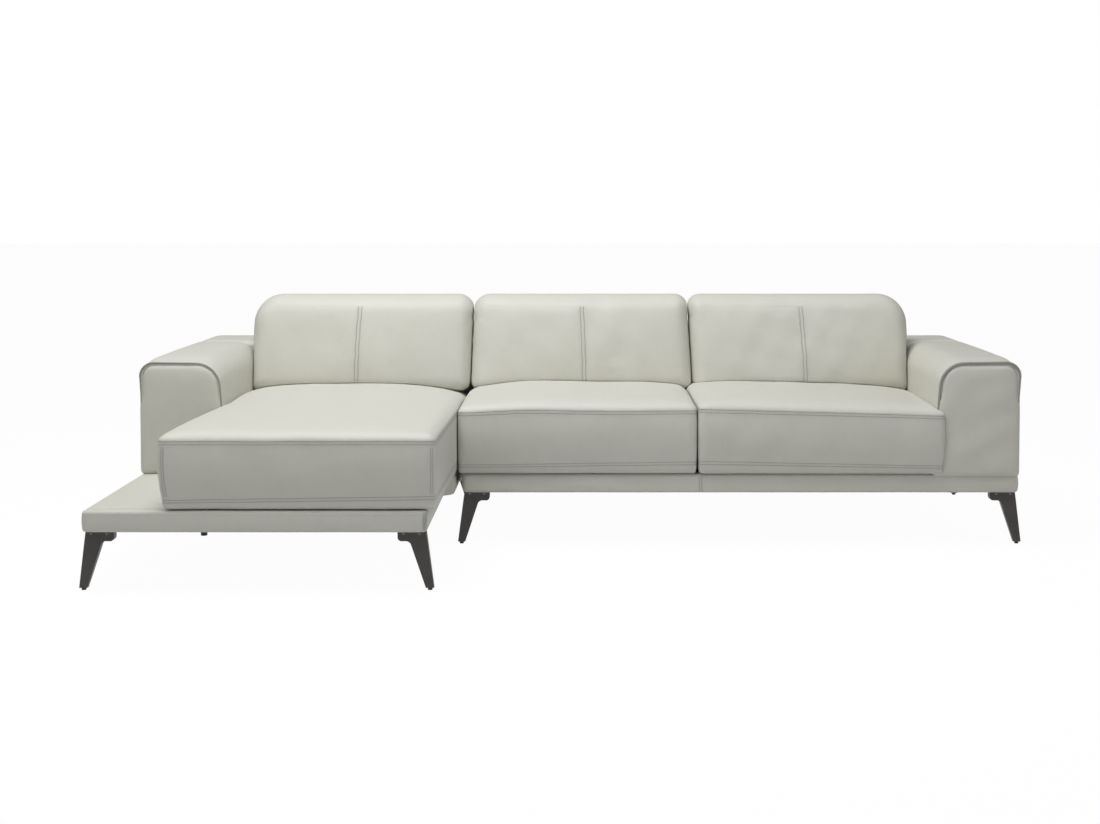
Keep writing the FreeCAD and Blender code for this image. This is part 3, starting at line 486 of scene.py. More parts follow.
@dataclass
class Shell:
    """A mesh being made, with numbers kept on its points."""

    points: np.ndarray
    faces: list[Face]
    marks: dict[str, np.ndarray]

    def object(self, name: str, material: bpy.types.Material) -> bpy.types.Object:
        """The finished object.

        Args:
            name: its name.
            material: its only material.

        Returns:
            The object, linked to the scene.
        """
        mesh = bpy.data.meshes.new(name)
        mesh.from_pydata(self.points.tolist(), [], self.faces)
        for mark, values in self.marks.items():
            layer = mesh.attributes.new(mark, "FLOAT", "POINT")
            layer.data.foreach_set("value", np.asarray(values, np.float32))
        work = bmesh.new()
        work.from_mesh(mesh)
        bmesh.ops.recalc_face_normals(work, faces=work.faces)
        work.to_mesh(mesh)
        work.free()
        mesh.polygons.foreach_set("use_smooth", [True] * len(mesh.polygons))
        mesh.materials.append(material)
        return placed(name, mesh)


def placed(name: str, data: bpy.types.ID) -> bpy.types.Object:
    """A new object in the scene.

    Args:
        name: its name.
        data: its mesh, light or camera.

    Returns:
        The object.
    """
    made = bpy.data.objects.new(name, data)
    bpy.context.scene.collection.objects.link(made)
    return made


def divided(made: bpy.types.Object) -> bpy.types.Object:
    """Add one smooth subdivision.

    Args:
        made: the object to smooth.

    Returns:
        The same object.
    """
    modifier = made.modifiers.new("smooth", "SUBSURF")
    modifier.levels = modifier.render_levels = 1
    return made


def unmarked(count: int) -> dict[str, np.ndarray]:
    """The numbers on the points of a shell that has no seam and no rubbed ridge yet."""
    return {"line_a": np.full(count, FAR), "line_b": np.full(count, FAR), "rub": np.zeros(count)}


@dataclass
class BoxForm:
    """A rounded box: rows of points round its sides, closed by a grid at either end.

    The outline is a rectangle with rounded corners in the two directions a and b.
    Each row is an inset from that outline and a place along the third direction, c.
    """

    half_a: float
    half_b: float
    corners: Radii
    rows: list[Row]
    step: float
    low_closed: bool = True
    high_closed: bool = True
    sharpest: float = 0.002
    fewest: int = 4

    def runs(self) -> list[float]:
        """How far each row is from the first one, measured over the rows.

        Returns:
            One distance in metres for each row.
        """
        gone = [0.0]
        for (inset, c), (next_inset, next_c) in zip(self.rows, self.rows[1:]):
            gone.append(gone[-1] + math.hypot(next_inset - inset, next_c - c))
        return gone

    def outline(self, a: np.ndarray, b: np.ndarray, inset: float) -> tuple[np.ndarray, np.ndarray]:
        """Move points of the unit square onto rounded rectangles.

        Args:
            a: places from -1 to 1.
            b: places from -1 to 1.
            inset: how far the whole outline is drawn in.

        Returns:
            The places along a and b in metres.
        """
        wide, tall = self.half_a - inset, self.half_b - inset
        ring = np.maximum(np.maximum(np.abs(a), np.abs(b)), 1e-6)
        picked = np.where(b < 0, np.where(a < 0, 0, 1), np.where(a > 0, 2, 3))
        radius = np.maximum(np.array(self.corners)[picked] - inset, self.sharpest) * ring
        over_a = np.abs(a) * wide - (ring * wide - radius)
        over_b = np.abs(b) * tall - (ring * tall - radius)
        from_a = 0.25 * np.pi * over_b / radius
        from_b = 0.5 * np.pi - 0.25 * np.pi * over_a / radius
        angle = np.where(over_a >= over_b, from_a, from_b)
        round_a = np.sign(a) * (ring * wide - radius + radius * np.cos(angle))
        round_b = np.sign(b) * (ring * tall - radius + radius * np.sin(angle))
        inside = (over_a > 0) & (over_b > 0)
        return np.where(inside, round_a, a * wide), np.where(inside, round_b, b * tall)

    def build(self) -> tuple[np.ndarray, list[Face], np.ndarray]:
        """Make the points and faces.

        Returns:
            Points as (a, b, c), faces, and each point's distance over the rows from the first row.
        """
        count_a = max(self.fewest, round(2 * self.half_a / self.step))
        count_b = max(self.fewest, round(2 * self.half_b / self.step))
        across, along = np.linspace(-1, 1, count_a + 1), np.linspace(-1, 1, count_b + 1)
        grid_a, grid_b = np.meshgrid(across, along, indexing="ij")
        ring = [(i, 0) for i in range(count_a)] + [(count_a, j) for j in range(count_b)]
        ring += [(i, count_b) for i in range(count_a, 0, -1)] + [(0, j) for j in range(count_b, 0, -1)]
        ring_a = np.array([grid_a[p] for p in ring])
        ring_b = np.array([grid_b[p] for p in ring])
        size = len(ring)
        points: list[np.ndarray] = []
        travel: list[np.ndarray] = []
        for (inset, c), gone in zip(self.rows, self.runs()):
            a, b = self.outline(ring_a, ring_b, inset)
            points.append(np.stack([a, b, np.full(size, c)], axis=1))
            travel.append(np.full(size, gone))
        faces: list[Face] = []
        for row in range(len(self.rows) - 1):
            low, high = row * size, (row + 1) * size
            for k in range(size):
                after = (k + 1) % size
                faces.append((low + k, low + after, high + after, high + k))
        ends = ((0, -1.0, self.low_closed), (len(self.rows) - 1, 1.0, self.high_closed))
        for row, sign, closed in ends:
            if not closed:
                continue
            inset, c = self.rows[row]
            number = np.full(grid_a.shape, -1, int)
            for k, spot in enumerate(ring):
                number[spot] = row * size + k
            a, b = self.outline(grid_a, grid_b, inset)
            start = sum(len(part) for part in points)
            inner = [(i, j) for i in range(1, count_a) for j in range(1, count_b)]
            for k, spot in enumerate(inner):
                number[spot] = start + k
            spots = np.array(inner)
            ia, jb = spots[:, 0], spots[:, 1]
            points.append(np.stack([a[ia, jb], b[ia, jb], np.full(len(inner), c)], axis=1))
            near_a = self.half_a - inset - np.abs(a[ia, jb])
            near_b = self.half_b - inset - np.abs(b[ia, jb])
            travel.append(travel[row][0] + sign * np.minimum(near_a, near_b))
            for i in range(count_a):
                for j in range(count_b):
                    faces.append((number[i, j], number[i + 1, j], number[i + 1, j + 1], number[i, j + 1]))
        faces = [tuple(int(v) for v in face) for face in faces]
        return np.concatenate(points), faces, np.concatenate(travel)

    def shell(self, places: Places) -> tuple[Shell, np.ndarray, np.ndarray]:
        """Make the form and put its points in place.

        Args:
            places: turns a, b and c into x, y and z.

        Returns:
            The shell, its points before they were placed, and their distance over the rows.
        """
        flat, faces, travel = self.build()
        x, y, z = places(flat[:, 0], flat[:, 1], flat[:, 2])
        return Shell(np.stack([x, y, z], axis=1), faces, unmarked(len(flat))), flat, travel


def turn(inset: float, start: float, reach: float, steps: int, opening: bool) -> list[Row]:
    """Rows round a soft edge.

    Args:
        inset: how far the edge draws in.
        start: the place along c where the edge starts.
        reach: how far it goes along c.
        steps: how many rows it takes.
        opening: True where the form widens along it, False where it closes.

    Returns:
        Rows from the start of the edge to its end.
    """
    rows = []
    for k in range(steps + 1):
        angle = QUARTER * k / steps
        if opening:
            rows.append((inset * (1 - math.sin(angle)), start + reach * (1 - math.cos(angle))))
        else:
            rows.append((inset * (1 - math.cos(angle)), start + reach * math.sin(angle)))
    return rows


def smooth_step(value: np.ndarray, low: float, high: float) -> np.ndarray:
    """0 below low, 1 above high, and a soft rise between."""
    share = np.clip((value - low) / (high - low), 0.0, 1.0)
    return share * share * (3 - 2 * share)


def level(x: float) -> Line:
    """A side that runs straight back."""
    return lambda y: np.full_like(np.asarray(y, float), x)


def spread(a: np.ndarray, wide: float, left: np.ndarray, right: np.ndarray) -> np.ndarray:
    """X of points between two sides, from their places between -wide and wide."""
    return (left + right) / 2 + a * (right - left) / (2 * wide)


def seam_distance(x: np.ndarray, seams: Sequence[float]) -> np.ndarray:
    """How far points are from the nearest of a few upright seams."""
    return np.min(np.abs(x[:, None] - np.array(seams)[None, :]), axis=1)


def eased(places: Sequence[float], values: Sequence[float]) -> Line:
    """A soft line through a few values, level at each of them.

    Args:
        places: where the values are, in rising order.
        values: the line's height there.

    Returns:
        The line.
    """

    def line(at: np.ndarray) -> np.ndarray:
        """The line at some places.

        Args:
            at: the places.

        Returns:
            The line's height at each.
        """
        spot = np.clip(np.searchsorted(places, at, side="right") - 1, 0, len(places) - 2)
        low, high = np.array(places)[spot], np.array(places)[spot + 1]
        share = np.clip((at - low) / (high - low), 0.0, 1.0)
        first, second = np.array(values)[spot], np.array(values)[spot + 1]
        return first + (second - first) * share * share * (3 - 2 * share)

    return line


def waves(seed: int, count: int, longest: float, shortest: float) -> Waves:
    """Slow seeded waves over two directions, for leather that lies a little uneven.

    Args:
        seed: the seed of the waves.
        count: how many there are.
        longest: the longest wave in metres.
        shortest: the shortest wave in metres.

    Returns:
        A function of two places that gives about -1 to 1.
    """
    chance = np.random.default_rng(seed)
    angles = chance.uniform(0, math.pi, count)
    lengths = np.exp(chance.uniform(math.log(shortest), math.log(longest), count))
    phases = chance.uniform(0, TURN, count)

    def height(u: np.ndarray, v: np.ndarray) -> np.ndarray:
        """The waves at some places.

        Args:
            u: the places in one direction.
            v: the places in the other.

        Returns:
            The waves' height at each.
        """
        total = np.zeros_like(u)
        for angle, length, phase in zip(angles, lengths, phases):
            along = u * math.cos(angle) + v * math.sin(angle)
            total += np.sin(along * 2 * math.pi / length + phase)
        return total / math.sqrt(count)

    return height


@dataclass
class Stuffing:
    """Blows a cushion up with cloth simulation, held along its seams."""

    pressure: float = 3.0
    frames: int = 16
    cap: float = 0.012
    slack: float = -0.004
    crumple: float = 0.22
    lightest: float = 0.02

    CLOTH: ClassVar[dict[str, Union[Number, str, bool]]] = {
        "quality": 4,
        "mass": 0.35,
        "tension_stiffness": 18,
        "compression_stiffness": 18,
        "shear_stiffness": 6,
        "bending_stiffness": 2.5,
        "vertex_group_mass": "held",
        "use_pressure": True,
    }

    def fill(self, made: bpy.types.Object, held: np.ndarray) -> None:
        """Simulate one object and keep the result in its mesh.

        Args:
            made: the cushion.
            held: how firmly each point is held, from 0 to 1.
        """
        group = made.vertex_groups.new(name="held")
        for index, weight in enumerate(held):
            if weight > self.lightest:
                group.add([index], float(weight), "REPLACE")
        cloth = made.modifiers.new("cloth", "CLOTH")
        for setting, value in self.CLOTH.items():
            setattr(cloth.settings, setting, value)
        cloth.settings.uniform_pressure_force = self.pressure
        cloth.settings.shrink_min = self.slack
        cloth.settings.effector_weights.gravity = 0.0
        cloth.collision_settings.use_collision = False
        scene = bpy.context.scene
        for frame in range(1, self.frames + 1):
            scene.frame_set(frame)
        blown = made.evaluated_get(bpy.context.evaluated_depsgraph_get())
        count = len(made.data.vertices)
        rest = np.empty(count * 3)
        moved = np.empty(count * 3)
        made.data.vertices.foreach_get("co", rest)
        blown.data.vertices.foreach_get("co", moved)
        shift = moved.reshape(-1, 3) - rest.reshape(-1, 3)
        size = np.maximum(np.linalg.norm(shift, axis=1), 1e-9)
        if not np.isfinite(size).all():
            raise RuntimeError(f"{made.name}: the cloth did not stay whole")
        shift *= (self.cap * np.tanh(size / self.cap) / size)[:, None]
        calm = self.calmed(made, shift)
        shift = calm + (shift - calm) * self.crumple
        made.modifiers.remove(cloth)
        made.data.vertices.foreach_set("co", (rest.reshape(-1, 3) + shift).ravel())
        made.vertex_groups.remove(group)
        scene.frame_set(1)
        LOG.info("%s swelled by up to %.1f mm", made.name, 1000 * np.linalg.norm(shift, axis=1).max())

    @staticmethod
    def calmed(made: bpy.types.Object, shift: np.ndarray, rounds: int = 14) -> np.ndarray:
        """The slow part of a shift, averaged over neighbouring points.

        Args:
            made: the object whose edges join the points.
            shift: how far each point moved.
            rounds: how often the average is taken.

        Returns:
            The calmed shift.
        """
        count = len(made.data.edges)
        ends = np.empty(count * 2, int)
        made.data.edges.foreach_get("vertices", ends)
        first, second = ends.reshape(-1, 2).T
        meets = np.bincount(ends, minlength=len(shift))[:, None]
        calm = shift.copy()
        for _ in range(rounds):
            total = np.zeros_like(calm)
            np.add.at(total, first, calm[second])
            np.add.at(total, second, calm[first])
            calm = 0.5 * calm + 0.5 * total / meets
        return calm


def reshape(made: bpy.types.Object, change: Callable[[np.ndarray], np.ndarray]) -> None:
    """Move an object's points.

    Args:
        made: the object.
        change: turns all its points into where they belong.
    """
    count = len(made.data.vertices)
    co = np.empty(count * 3)
    made.data.vertices.foreach_get("co", co)
    made.data.vertices.foreach_set("co", change(co.reshape(-1, 3)).ravel())
    made.data.update()


def fitted(made: bpy.types.Object, body: Module, *nodes: str) -> bpy.types.Object:
    """Tie a leather piece to its body and to the nodes that it stands for.

    Args:
        made: the piece.
        body: the module that it rides on.
        nodes: the names of the CAD nodes.

    Returns:
        The same piece.
    """
    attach(made, body.value)
    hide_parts(*nodes)
    LOG.info("%s: %d points", made.name, len(made.data.vertices))
    return made


# The sofa


@dataclass(frozen=True)
class Plan:
    """Places that several pieces share, in metres."""

    base_top: float = 0.228
    base_low: float = 0.168
    half_width: float = 1.384
    front: float = -0.1645
    rear: float = 0.8105
    back_front: float = 0.5375
    seat_rear: float = 0.5255
    arm_top: float = 0.590
    arm_foot: float = 1.108
    arm_high: float = 1.128
    arm_rear: float = 1.150
    shoulder: float = 0.511
    chaise_edge: float = -0.387
    two_seat_edge: float = -0.385

    def arm_inner(self, y: np.ndarray, z: np.ndarray) -> np.ndarray:
        """Distance from the middle to an arm's inner face.

        Args:
            y: depth.
            z: height.

        Returns:
            The distance at each place.
        """
        share = np.clip((y - self.front) / (self.back_front - self.front), 0.0, 1.0)
        rise = np.clip((z - self.base_top) / (self.shoulder - self.base_top), 0.0, 1.0)
        low = self.arm_foot + (self.arm_rear - self.arm_foot) * share
        high = self.arm_high + (self.arm_rear - self.arm_high) * share
        return low + (high - low) * rise


PLAN = Plan()


@dataclass
class SeatCushion:
    """A box seat cushion with a crowned top panel, a stitched band and soft shoulders."""

    word: str
    module: Module
    left: Line
    right: Line
    start: float
    seed: int
    low_x: float
    high_x: float
    seam_sag: Line
    dome: Radii
    rear_fall: tuple[float, float]
    touching: tuple[bool, bool]
    seam_height: float = 0.190
    seam_rise: float = 0.002
    foot_seam: float = 0.032
    foot_inset: float = 0.009
    foot_tilt: float = 0.0
    shoulder_in: float = 0.040
    shoulder_up: float = 0.024
    crown: float = 0.020
    swell: float = 0.007
    step: float = 0.0125
    corner: float = 0.022
    rear_corner: float = 0.03
    corner_seams: tuple[float, float] = (0.015, 0.007)
    corner_reach: float = 0.08
    band_steps: int = 12
    shoulder_steps: int = 7
    rumple_top: float = 0.0014
    rumple_front: float = 0.0012
    clearance: float = 0.0012
    seam_hold: float = 0.010
    rub_reach: float = 0.05

    FOOT: ClassVar[tuple[Row, ...]] = ((0.034, 0.0), (0.022, 0.003), (0.014, 0.009), (0.010, 0.017))

    def rows(self) -> list[Row]:
        """The rows from the underside to the edge of the top panel.

        Returns:
            The inset and the height of each row.
        """
        rows = [*self.FOOT, (self.foot_inset, self.foot_seam)]
        for k in range(1, self.band_steps):
            share = k / self.band_steps
            bulge = math.sin(math.pi * share) ** 0.7
            height = self.foot_seam + (self.seam_height - self.foot_seam) * share
            rows.append((self.foot_inset * (1 - share) + self.seam_rise - self.swell * bulge, height))
        rows.append((self.seam_rise, self.seam_height))
        start = self.seam_height + self.seam_rise
        return rows + turn(self.shoulder_in, start, self.shoulder_up, self.shoulder_steps, False)[1:]

    def arch(self, u: np.ndarray, v: np.ndarray) -> np.ndarray:
        """How far the top panel rises at a place, from -1 to 1 across and along.

        Args:
            u: places across the cushion.
            v: places along it, the front at -1.

        Returns:
            The rise above the panel's level edge, less where the rear corners fall.
        """
        left, right, front, rear = self.dome
        out = np.clip(np.abs(u), 0, 1)
        across = 1 - out ** np.where(u < 0, left, right)
        along = 1 - np.clip(np.abs(v), 0, 1) ** np.where(v < 0, front, rear)
        fall = np.where(u < 0, *self.rear_fall)
        return self.crown * across * along - fall * out ** 3 * smooth_step(v, 0.3, 0.95)

    def height_at(self, x: np.ndarray, y: np.ndarray) -> np.ndarray:
        """Height of the cushion's top, for what rests on it.

        Args:
            x: places across the room.
            y: depths.

        Returns:
            The height at each place.
        """
        half = (self.right(y) - self.left(y)) / 2
        middle = (self.right(y) + self.left(y)) / 2
        u = np.clip((x - middle) / half, -1, 1)
        v = (y - (PLAN.seat_rear + self.start) / 2) / ((PLAN.seat_rear - self.start) / 2)
        side = np.clip(half - np.abs(x - middle), 0.0, self.shoulder_in)
        rise = self.shoulder_up * np.sqrt(np.clip(1 - (1 - side / self.shoulder_in) ** 2, 0, 1))
        edge = PLAN.base_top + self.seam_height + self.seam_rise
        return edge + rise + self.arch(u, v) + self.seam_sag(u)

    def build(self, finishes: Finishes, stuffing: Stuffing) -> bpy.types.Object:
        """Make the cushion.

        Args:
            finishes: the sofa's finishes.
            stuffing: the simulation that fills it.

        Returns:
            The cushion, riding on its module.
        """
        length = PLAN.seat_rear - self.start
        centre = (PLAN.seat_rear + self.start) / 2
        wide = float(self.right(np.array(centre)) - self.left(np.array(centre))) / 2
        corners = (self.corner, self.corner, self.rear_corner, self.rear_corner)
        form = BoxForm(wide, length / 2, corners, self.rows(), self.step)
        rumple = waves(self.seed, 9, 0.5, 0.12)
        insets, heights = np.array(form.rows).T

        def places(a: np.ndarray, b: np.ndarray, c: np.ndarray) -> Trio:
            """Put the form's points into the room.

            Args:
                a: places across the form.
                b: places along it.
                c: places over its rows.

            Returns:
                X, y and z in metres.
            """
            y = centre + b
            left, right = self.left(y), self.right(y)
            u, v = a / wide, b / (length / 2)
            pressed = np.where(u < 0, *self.touching) * (c < self.seam_height)
            drawn = np.clip(np.interp(c, heights, insets), 0.0, 1.0)
            a = a + np.sign(a) * pressed * drawn * 0.8 * smooth_step(np.abs(u), 0.8, 0.95)
            x = spread(a, wide, left, right)
            top = smooth_step(c, self.seam_height * 0.5, self.seam_height + self.shoulder_up)
            below = (self.seam_height - c) / (self.seam_height - self.foot_seam)
            foot = np.minimum(c / self.foot_seam, below)
            z = PLAN.base_top + c + self.foot_tilt * u * np.clip(foot, 0.0, 1.0)
            soft = self.rumple_top * rumple(x, y) * np.clip(1 - u * u, 0, 1) * np.clip(1 - v * v, 0, 1)
            z = z + top * (self.arch(u, v) + self.seam_sag(u) + soft)
            edge = self.rumple_front * rumple(x + y, z * 1.7 + 3.0)
            return x, y - edge * (v < -0.9), z

        shell, flat, travel = form.shell(places)
        runs, foot_row = form.runs(), len(self.FOOT)
        top_line = travel - runs[foot_row + self.band_steps]
        low_line = travel - runs[foot_row]
        shell.marks["line_a"] = np.minimum(np.abs(top_line), np.abs(low_line))
        band = (flat[:, 2] > self.foot_seam) & (flat[:, 2] < self.seam_height)
        side_a = wide - np.abs(flat[:, 0])
        side_b = length / 2 + flat[:, 1]
        corner_seam = np.where(flat[:, 0] < 0, *self.corner_seams)
        near = band & (side_b < self.corner_reach) & (side_a < self.corner_reach)
        shell.marks["line_b"] = np.where(near, side_a - side_b - corner_seam, FAR)
        ridge = smooth_step(flat[:, 2], self.seam_height + 0.005, self.seam_height + self.shoulder_up * 0.8)
        shell.marks["rub"] = ridge * np.exp(-((top_line - self.rub_reach) / self.rub_reach) ** 2)
        made = shell.object(f"{self.word}_seat_cushion", finishes.leather)
        held = np.maximum(*(np.exp(-(line / self.seam_hold) ** 2) for line in (top_line, low_line)))
        held = np.maximum(held, (flat[:, 2] < self.foot_seam * 0.8) * 1.0)
        held = np.maximum(held, 0.3 * (flat[:, 2] > self.seam_height))
        stuffing.fill(made, held)
        reshape(made, self.kept_clear)
        divided(made)
        return fitted(made, self.module, f"{self.word}_seat_cover", f"{self.word}_seat_foam")

    def kept_clear(self, co: np.ndarray) -> np.ndarray:
        """Flatten the cushion where it meets its neighbours, the arms and the base.

        Args:
            co: all its points.

        Returns:
            Where they belong.
        """
        x, y, z = co[:, 0].copy(), co[:, 1], co[:, 2].copy()
        beside = y > PLAN.front - 0.011
        limit = PLAN.arm_inner(y, z) - self.clearance
        x = np.where(beside, np.clip(x, -limit, limit), x)
        x = np.where(y > PLAN.front - 0.6, np.clip(x, self.low_x, self.high_x), x)
        z = np.maximum(z, PLAN.base_top + self.clearance / 2)
        return np.stack([x, y, z], axis=1)


@dataclass
class BackCushion:
    """A leaning back cushion with a round head and a double-stitched seam down its middle."""

    word: str
    module: Module
    low_left: float
    top_left: float
    low_right: float
    top_right: float
    corners: Radii
    seam_low: float
    seam_top: float
    seed: int
    seats: Sequence[SeatCushion]
    low: float = 0.424
    top: float = 0.7570
    foot_y: float = 0.3955
    lean: float = 0.084
    rear_low: float = 0.5300
    rear_top: float = 0.6035
    shelf: float = 0.5945
    soft: float = 0.050
    puff: float = 0.020
    step: float = 0.0115
    seam_spread: float = 1.45
    seam_head: float = 0.030
    seam_hold: float = 0.045
    seam_grip: float = 0.008
    pleat_height: float = 0.679
    pleat_depth: float = 0.0016
    pleat_reach: float = 0.042
    pinch: float = 0.0045
    pinch_height: float = 0.007
    rumple: float = 0.0018
    shelf_turn: float = 0.02
    seat_gap: float = 0.0012
    side_gap: float = 0.0002
    arm_gap: float = 0.0015
    shelf_gap: float = 0.0005
    unit_gap: float = 0.002

    def share(self, z: np.ndarray) -> np.ndarray:
        """How far up the cushion a height is, from 0 at its foot to 1 at its head."""
        return (z - self.low) / (self.top - self.low)

    def sides(self, share: np.ndarray) -> tuple[np.ndarray, np.ndarray]:
        """The cushion's left and right ends at a share of its height."""
        left = self.low_left + (self.top_left - self.low_left) * share
        return left, self.low_right + (self.top_right - self.low_right) * share

    def build(self, finishes: Finishes, stuffing: Stuffing) -> bpy.types.Object:
        """Make the cushion.

        Args:
            finishes: the sofa's finishes.
            stuffing: the simulation that fills it.

        Returns:
            The cushion, riding on its module.
        """
        tall = (self.top - self.low) / 2
        middle = (self.top + self.low) / 2
        wide = (self.low_right - self.low_left) / 2
        rows = turn(self.soft, 0.0, 1.0, 5, True) + [(-0.002, 1.33), (-0.003, 1.66)]
        rows += turn(self.soft, 2.0, 1.0, 7, False)
        form = BoxForm(wide, tall, self.corners, rows, self.step)
        rumple = waves(self.seed, 9, 0.4, 0.1)

        def places(a: np.ndarray, b: np.ndarray, c: np.ndarray) -> Trio:
            """Put the form's points into the room.

            Args:
                a: places across the form.
                b: places along it.
                c: places over its rows.

            Returns:
                X, y and z in metres.
            """
            z = middle + b
            left, right = self.sides(self.share(z))
            x = spread(a, wide, left, right)
            u, v = a / wide, b / tall
            face = self.foot_y + self.lean * (z - self.low) / (self.top - self.low)
            dome = np.clip(1 - u ** 2, 0, 1) ** 0.45 * np.clip(1 - v ** 2, 0, 1) ** 0.9
            face = face - self.puff * dome * smooth_step(c, 2.2, 3.0)
            face = face + self.pleats(x, z) * smooth_step(c, 2.0, 2.6)
            over = smooth_step(z, self.shelf - self.shelf_turn, self.shelf + 0.03)
            back = self.rear_low + (self.rear_top - self.rear_low) * over
            turned = self.soft * 0.95
            between = np.clip(c - 1, 0, 1)
            y = back - turned * np.clip(c, 0, 1) + (face - back + 2 * turned) * between
            y = np.where(c > 2, face + turned * (3 - c), y)
            pinch = np.exp(-((z - self.pleat_height) / self.pinch_height) ** 2)
            pinch = pinch * smooth_step(np.abs(u), 0.93, 1.0) * (c > 1.5)
            x = x - np.sign(a) * self.pinch * pinch * (np.abs(x) < 1.0)
            return x, y + self.rumple * rumple(x, z) * smooth_step(c, 2.0, 2.8), z

        shell, flat, travel = form.shell(places)
        points = shell.points
        seam_x = self.seam_at(points[:, 2])
        facing = (flat[:, 2] > 2.6) & (points[:, 2] < self.top - self.seam_head)
        shell.marks["line_b"] = np.where(facing, (points[:, 0] - seam_x) / self.seam_spread, FAR)
        shell.marks["rub"] = smooth_step(points[:, 2], self.top - 0.07, self.top - 0.01) * 0.8
        made = shell.object(f"{self.word}_back_cushion", finishes.leather)
        near = np.where(flat[:, 2] > 2.5, np.abs(points[:, 0] - seam_x), FAR)
        held = 0.7 * np.exp(-(near / self.seam_grip) ** 2) * (points[:, 2] < self.top - self.seam_hold)
        held = np.maximum(held, 1.0 * (flat[:, 2] < 1.5))
        held = np.maximum(held, 0.15)
        stuffing.fill(made, held)
        reshape(made, self.kept_clear)
        divided(made)
        return fitted(made, self.module, f"{self.word}_back_cover", f"{self.word}_back_foam")

    def seam_at(self, z: np.ndarray) -> np.ndarray:
        """Where the wavering middle seam runs.

        Args:
            z: heights.

        Returns:
            Its place across the room at each height.
        """
        share = np.clip(self.share(z), 0.0, 1.0)
        straight = self.seam_low + (self.seam_top - self.seam_low) * share ** 1.6
        return straight + 0.0006 * np.sin(z * 97.0 + self.seed) + 0.0004 * np.sin(z * 203.0 + 2.0 * self.seed)

    def pleats(self, x: np.ndarray, z: np.ndarray) -> np.ndarray:
        """Shallow folds that fan out from the pinched seams beside a neighbour.

        Args:
            x: places across the room.
            z: heights.

        Returns:
            How far back the face lies at each place, in metres.
        """
        total = np.zeros_like(x)
        for side, edge in ((1.0, self.top_right), (-1.0, self.top_left)):
            if abs(edge) > 1.0:
                continue
            away, up = (edge - x) * side, z - self.pleat_height
            reach = np.hypot(away, up)
            fan = np.cos(7.0 * np.arctan2(up, away + 0.004) + self.seed)
            fold = self.pleat_depth * fan * np.exp(-(reach / self.pleat_reach) ** 2)
            total += fold * smooth_step(reach, 0.002, 0.016)
        return total

    def kept_clear(self, co: np.ndarray) -> np.ndarray:
        """Rest the cushion on the seats, clear of its neighbours, the arm and the back unit.

        Args:
            co: all its points.

        Returns:
            Where they belong.
        """
        x, y, z = co[:, 0].copy(), co[:, 1].copy(), co[:, 2].copy()
        under = np.array(0.45)
        for seat in self.seats:
            over = (x > float(seat.left(under)) - 0.004) & (x < float(seat.right(under)) + 0.004)
            z = np.where(over, np.maximum(z, seat.height_at(x, y) + self.seat_gap), z)
        left, right = self.sides(np.clip(self.share(z), 0, 1))
        x = np.clip(x, left + self.side_gap, right - self.side_gap)
        limit = PLAN.arm_inner(y, z) - self.arm_gap
        x = np.where(z < PLAN.arm_top, np.clip(x, -limit, limit), x)
        front, shelf = PLAN.back_front - self.unit_gap, self.shelf + self.shelf_gap
        behind = (z < shelf) & (y > front)
        y = np.where(behind & (z < self.shelf - self.shelf_turn), front, y)
        z = np.where(behind & (z >= self.shelf - self.shelf_turn), shelf, z)
        return np.stack([x, y, z], axis=1)


